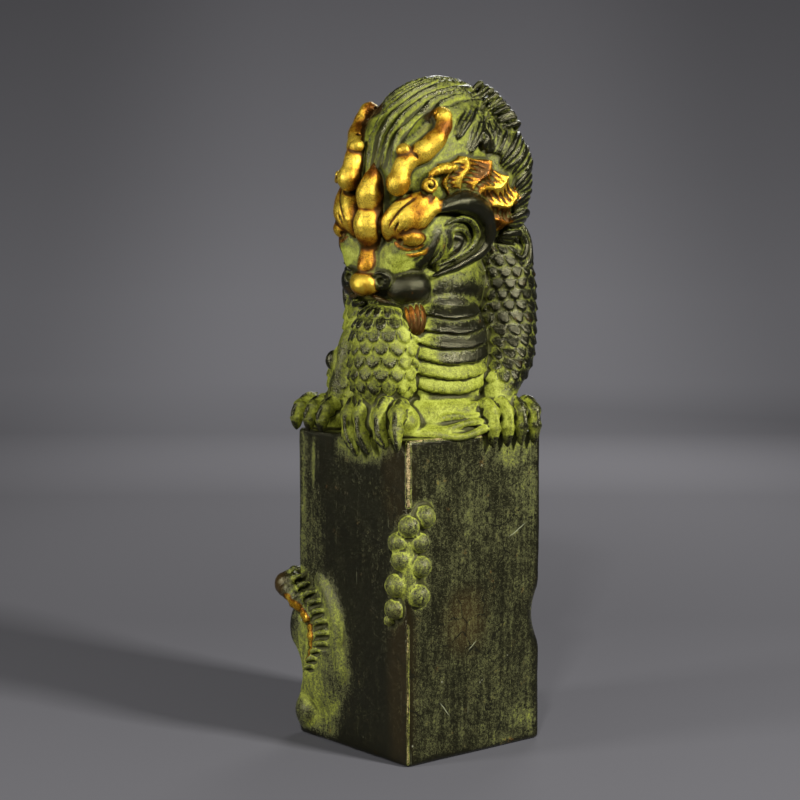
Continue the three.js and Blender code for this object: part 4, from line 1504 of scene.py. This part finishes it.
def gilded(n, s, colour):
    """Gold stays on the raised metal, and turns to orange brown where it is rubbed thin. Hollows
    thin and darken it too, as painted shade, and the deepest hollows are painted black as shade.
    Gives the colour, and where the gold is."""
    # Gold is thinned in hollows, partly as wear and partly as painted shade.
    gilt_worn_and_shaded = n.plus(s.gold, n.ramp(s.hollow, 0.42, 0.75), -0.55)
    gilt_worn_and_shaded = n.sway(n.sway(gilt_worn_and_shaded, s.patchy, 0.9), s.grainy, 0.5)
    gilt = n.ramp(gilt_worn_and_shaded, 0.10, 0.42)
    tone = n.plus(gilt_worn_and_shaded, s.brown, -0.74)
    # Painted shade: the gold's tone darkens towards hollows.
    tone = n.plus(tone, n.ramp(s.hollow, 0.28, 0.60), -0.75)
    tone = n.sway(tone, n.noise(s.place, 150, 4), 1.9)
    colour = n.mix(gilt, colour, n.levels(tone, GILDING))
    # Painted shade: the deepest hollows are blackened.
    groove_shade = n.times(n.ramp(s.hollow, 0.54, 0.82), n.plus(0.94, gilt, -0.80))
    return n.mix(groove_shade, colour, GROOVE_SHADE_COLOUR), gilt


def pitted(n, s, colour):
    """Small pale pits, in patches."""
    pits = n.add("ShaderNodeTexVoronoi", feature="F1")
    n.join(s.place, pits.inputs["Vector"])
    pits.inputs["Scale"].default_value = 330
    spot = n.times(n.ramp(pits.outputs["Distance"], 0.11, 0.05), n.ramp(s.patchy, 0.56, 0.62))
    return n.mix(n.times(spot, 0.5), colour, PIT)


def cracked(n, s, colour, settled, gilt):
    """Thin dark cracks, where there is neither powder nor gold."""
    cells = n.add("ShaderNodeTexVoronoi", feature="DISTANCE_TO_EDGE")
    n.join(n.warped(s.place, 260, 0.004), cells.inputs["Vector"])
    cells.inputs["Scale"].default_value = 130
    crack = n.times(n.ramp(cells.outputs["Distance"], 0.030, 0.008), n.ramp(s.broad, 0.47, 0.56))
    plain = n.math("SUBTRACT", n.ramp(settled, 0.55, 0.35), gilt, clamp=True)
    return n.mix(n.times(crack, plain), colour, CRACK)


def scratched(n, s, colour):
    """Fine scratches, aslant and upright, and the single ones."""
    slanting = n.add("ShaderNodeMapping", vector_type="POINT")
    n.join(s.place, slanting.inputs["Vector"])
    slanting.inputs["Rotation"].default_value = (0.5, 0.9, 0.4)
    slanting.inputs["Scale"].default_value = (1.0, 1.0, 0.03)
    aslant = n.ramp(n.noise(slanting.outputs[0], 1100, 2, 0.5), 0.70, 0.75)
    fine = n.math("MAXIMUM", aslant, n.ramp(s.streaky, 0.66, 0.76))
    fine = n.times(fine, n.ramp(s.patchy, 0.46, 0.60))
    colour = n.mix(n.times(fine, 0.35), colour, SCRATCH)
    wavering = n.warped(s.place, 500, 0.0006)
    front = n.ramp(n.dot(s.place, (0, 1, 0)), (1.0 - HALF) / 1000, (0.4 - HALF) / 1000)
    for marks, strength, mark_colour in ((PALE_SCRATCHES, 0.7, PALE_SCRATCH), (DARK_CUTS, 0.85, CRACK)):
        for ends in marks:
            mark = n.times(scratched_along(n, wavering, ends), n.times(front, strength))
            colour = n.mix(mark, colour, mark_colour)
    return colour


def scratched_along(n, place, ends):
    """A straight mark in the plane of x and z, fading out towards its ends."""
    (x0, z0), (x1, z1) = ends
    length = math.hypot(x1 - x0, z1 - z0)
    dx, dz = (x1 - x0) / length, (z1 - z0) / length
    mx, mz = (x0 + x1) / 2000, (z0 + z1) / 2000
    off = n.math("ABSOLUTE", n.math("SUBTRACT", n.dot(place, (-dz, 0, dx)), dx * mz - dz * mx))
    run = n.math("ABSOLUTE", n.math("SUBTRACT", n.dot(place, (dx, 0, dz)), dx * mx + dz * mz))
    return n.times(n.ramp(off, 0.00016, 0.00005), n.ramp(run, length / 2000, 0.3 * length / 2000))


def grain(n, s):
    """The small unevenness of the surface."""
    height = n.plus(n.times(s.grainy, 0.8), s.fine, 0.45)
    height = n.plus(height, s.patchy, 1.0)
    height = n.plus(height, s.streaky, 0.25)
    bump = n.add("ShaderNodeBump")
    bump.inputs["Strength"].default_value = 1.0
    bump.inputs["Distance"].default_value = 0.00012
    n.join(n.times(height, n.blend(s.figure, 1.0, 1.3)), bump.inputs["Height"])
    return bump.outputs[0]


def patinated_bronze():
    material = bpy.data.materials.new("patinated_copper")
    n = Nodes(material)
    shader = n.add("ShaderNodeBsdfPrincipled")
    n.join(shader.outputs[0], n.add("ShaderNodeOutputMaterial").inputs[0])
    s = Surface(n)
    colour, settled = patinated(n, s)
    colour, gilt = gilded(n, s, colour)
    colour = cracked(n, s, pitted(n, s, colour), settled, gilt)
    n.join(scratched(n, s, colour), shader.inputs["Base Color"])
    n.join(n.times(gilt, 0.65), shader.inputs["Metallic"])
    rough = n.plus(n.blend(n.ramp(settled, 0.25, 0.7), 0.10, 0.42), s.grainy, 0.22)
    n.join(n.plus(rough, gilt, -0.04), shader.inputs["Roughness"])
    shader.inputs["Specular IOR Level"].default_value = 0.42
    shader.inputs["Specular Tint"].default_value = (1.0, 0.94, 0.55, 1)
    n.join(grain(n, s), shader.inputs["Normal"])
    return material


# The floor, the lights and the camera, in metres.

CAMERA_PLACE = (-0.25438, -0.29996, 0.10564)
CAMERA_LOOK = (0.63680, 0.76703, -0.07846)
# The lens's focal length and the sensor's width, in millimetres.
LENS = 81
SENSOR = 36
# The level direction away from the camera.
AWAY = (0.6368, 0.7670)
# The backdrop's grey, with painted light and shade in it, from the near floor, at 0, to the top of the wall,
# at 1.
BACKDROP_LIGHT_AND_SHADE = [
    (0, 0.100),
    (0.08, 0.095),
    (0.25, 0.140),
    (0.41, 0.30),
    (0.54, 0.43),
    (0.66, 0.40),
    (0.80, 0.32),
    (1, 0.22),
]
# Where the floor starts to turn up into the wall, the radius of the turn, and the wall's height.
TURN_START = 0.7
TURN_RADIUS = 0.6
WALL_TOP = 3.0
# The lights, which all aim at one point: name, place, size and power.
LIGHT_AIM = (0, 0, 0.08)
LIGHTS = [
    ("key", (0.14, -0.62, 0.40), 0.10, 9.0),
    ("spark", (-0.46, -0.42, 0.46), 0.05, 2.4),
    ("rim", (0.42, 0.30, 0.42), 0.20, 1.5),
    ("left", (-0.60, 0.16, 0.22), 0.14, 3.0),
]


def backdrop():
    """A grey with painted light and shade: lighter where the floor turns up, and darker at the sides."""
    material = bpy.data.materials.new("backdrop")
    n = Nodes(material)
    shader = n.add("ShaderNodeBsdfPrincipled")
    n.join(shader.outputs[0], n.add("ShaderNodeOutputMaterial").inputs[0])
    place = n.add("ShaderNodeTexCoord").outputs["Object"]
    along = n.math("DIVIDE", n.dot(place, (*AWAY, 1.0)), 1.6)
    grey = n.levels(along, [(share, (0.99 * v, 0.97 * v, 1.03 * v, 1)) for share, v in BACKDROP_LIGHT_AND_SHADE])
    # Painted shade towards the sides of the backdrop.
    beside = n.ramp(n.math("ABSOLUTE", n.dot(place, (AWAY[1], -AWAY[0], 0.0))), 0.10, 0.30, 0.0, 0.35)
    n.join(n.mix(beside, grey, (0.05, 0.05, 0.053, 1)), shader.inputs["Base Color"])
    shader.inputs["Roughness"].default_value = 0.8
    shader.inputs["Specular IOR Level"].default_value = 0.0
    return material


def sweep():
    """A floor that curves up into a plain wall behind the object."""
    away = np.array(AWAY)
    beside = np.array([AWAY[1], -AWAY[0]])
    profile = [(-3.0, 0.0), (TURN_START, 0.0)]
    for a in np.linspace(0.1, math.pi / 2, 14):
        profile.append((TURN_START + TURN_RADIUS * math.sin(a), TURN_RADIUS * (1 - math.cos(a))))
    profile.append((TURN_START + TURN_RADIUS, WALL_TOP))
    points = [(*(away * d + beside * w), h) for d, h in profile for w in (-4, 4)]
    faces = [(2 * k, 2 * k + 1, 2 * k + 3, 2 * k + 2) for k in range(len(profile) - 1)]
    mesh = bpy.data.meshes.new("floor")
    mesh.from_pydata(points, [], faces)
    mesh.shade_smooth()
    mesh.materials.append(backdrop())
    floor = bpy.data.objects.new("floor", mesh)
    bpy.context.scene.collection.objects.link(floor)
    floor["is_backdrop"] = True


def studio():
    sweep()
    bpy.context.scene.view_settings.view_transform = "Standard"
    world = bpy.data.worlds.new("studio")
    bpy.context.scene.world = world
    world.use_nodes = True
    sky = world.node_tree.nodes["Background"]
    sky.inputs["Color"].default_value = (0.80, 0.82, 0.86, 1)
    sky.inputs["Strength"].default_value = 0.10
    for name, place, size, power in LIGHTS:
        light = bpy.data.lights.new(name, "AREA")
        light.shape = "SQUARE"
        light.size = size
        light.energy = power
        holder = bpy.data.objects.new(name, light)
        holder.location = place
        aim = Vector(LIGHT_AIM) - Vector(place)
        holder.rotation_euler = aim.to_track_quat("-Z", "Y").to_euler()
        bpy.context.scene.collection.objects.link(holder)


def camera():
    data = bpy.data.cameras.new("camera")
    data.sensor_width = SENSOR
    data.lens = LENS
    data.clip_start = 0.01
    holder = bpy.data.objects.new("camera", data)
    holder.location = CAMERA_PLACE
    holder.rotation_euler = Vector(CAMERA_LOOK).to_track_quat("-Z", "Y").to_euler()
    bpy.context.scene.collection.objects.link(holder)
    bpy.context.scene.camera = holder


camera()
studio()
bronze = patinated_bronze()
made_fields = {"seal_block": seal_block(), "qilin_body": body(), "qilin_head": head()}
for piece_name, piece_field in made_fields.items():
    piece(piece_name, piece_field, list(made_fields.values()), bronze)

dressed_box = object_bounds()
boxes = {"cad": cad_box, "visual": dressed_box}
{name: [list(corner) for corner in box] for name, box in boxes.items()}
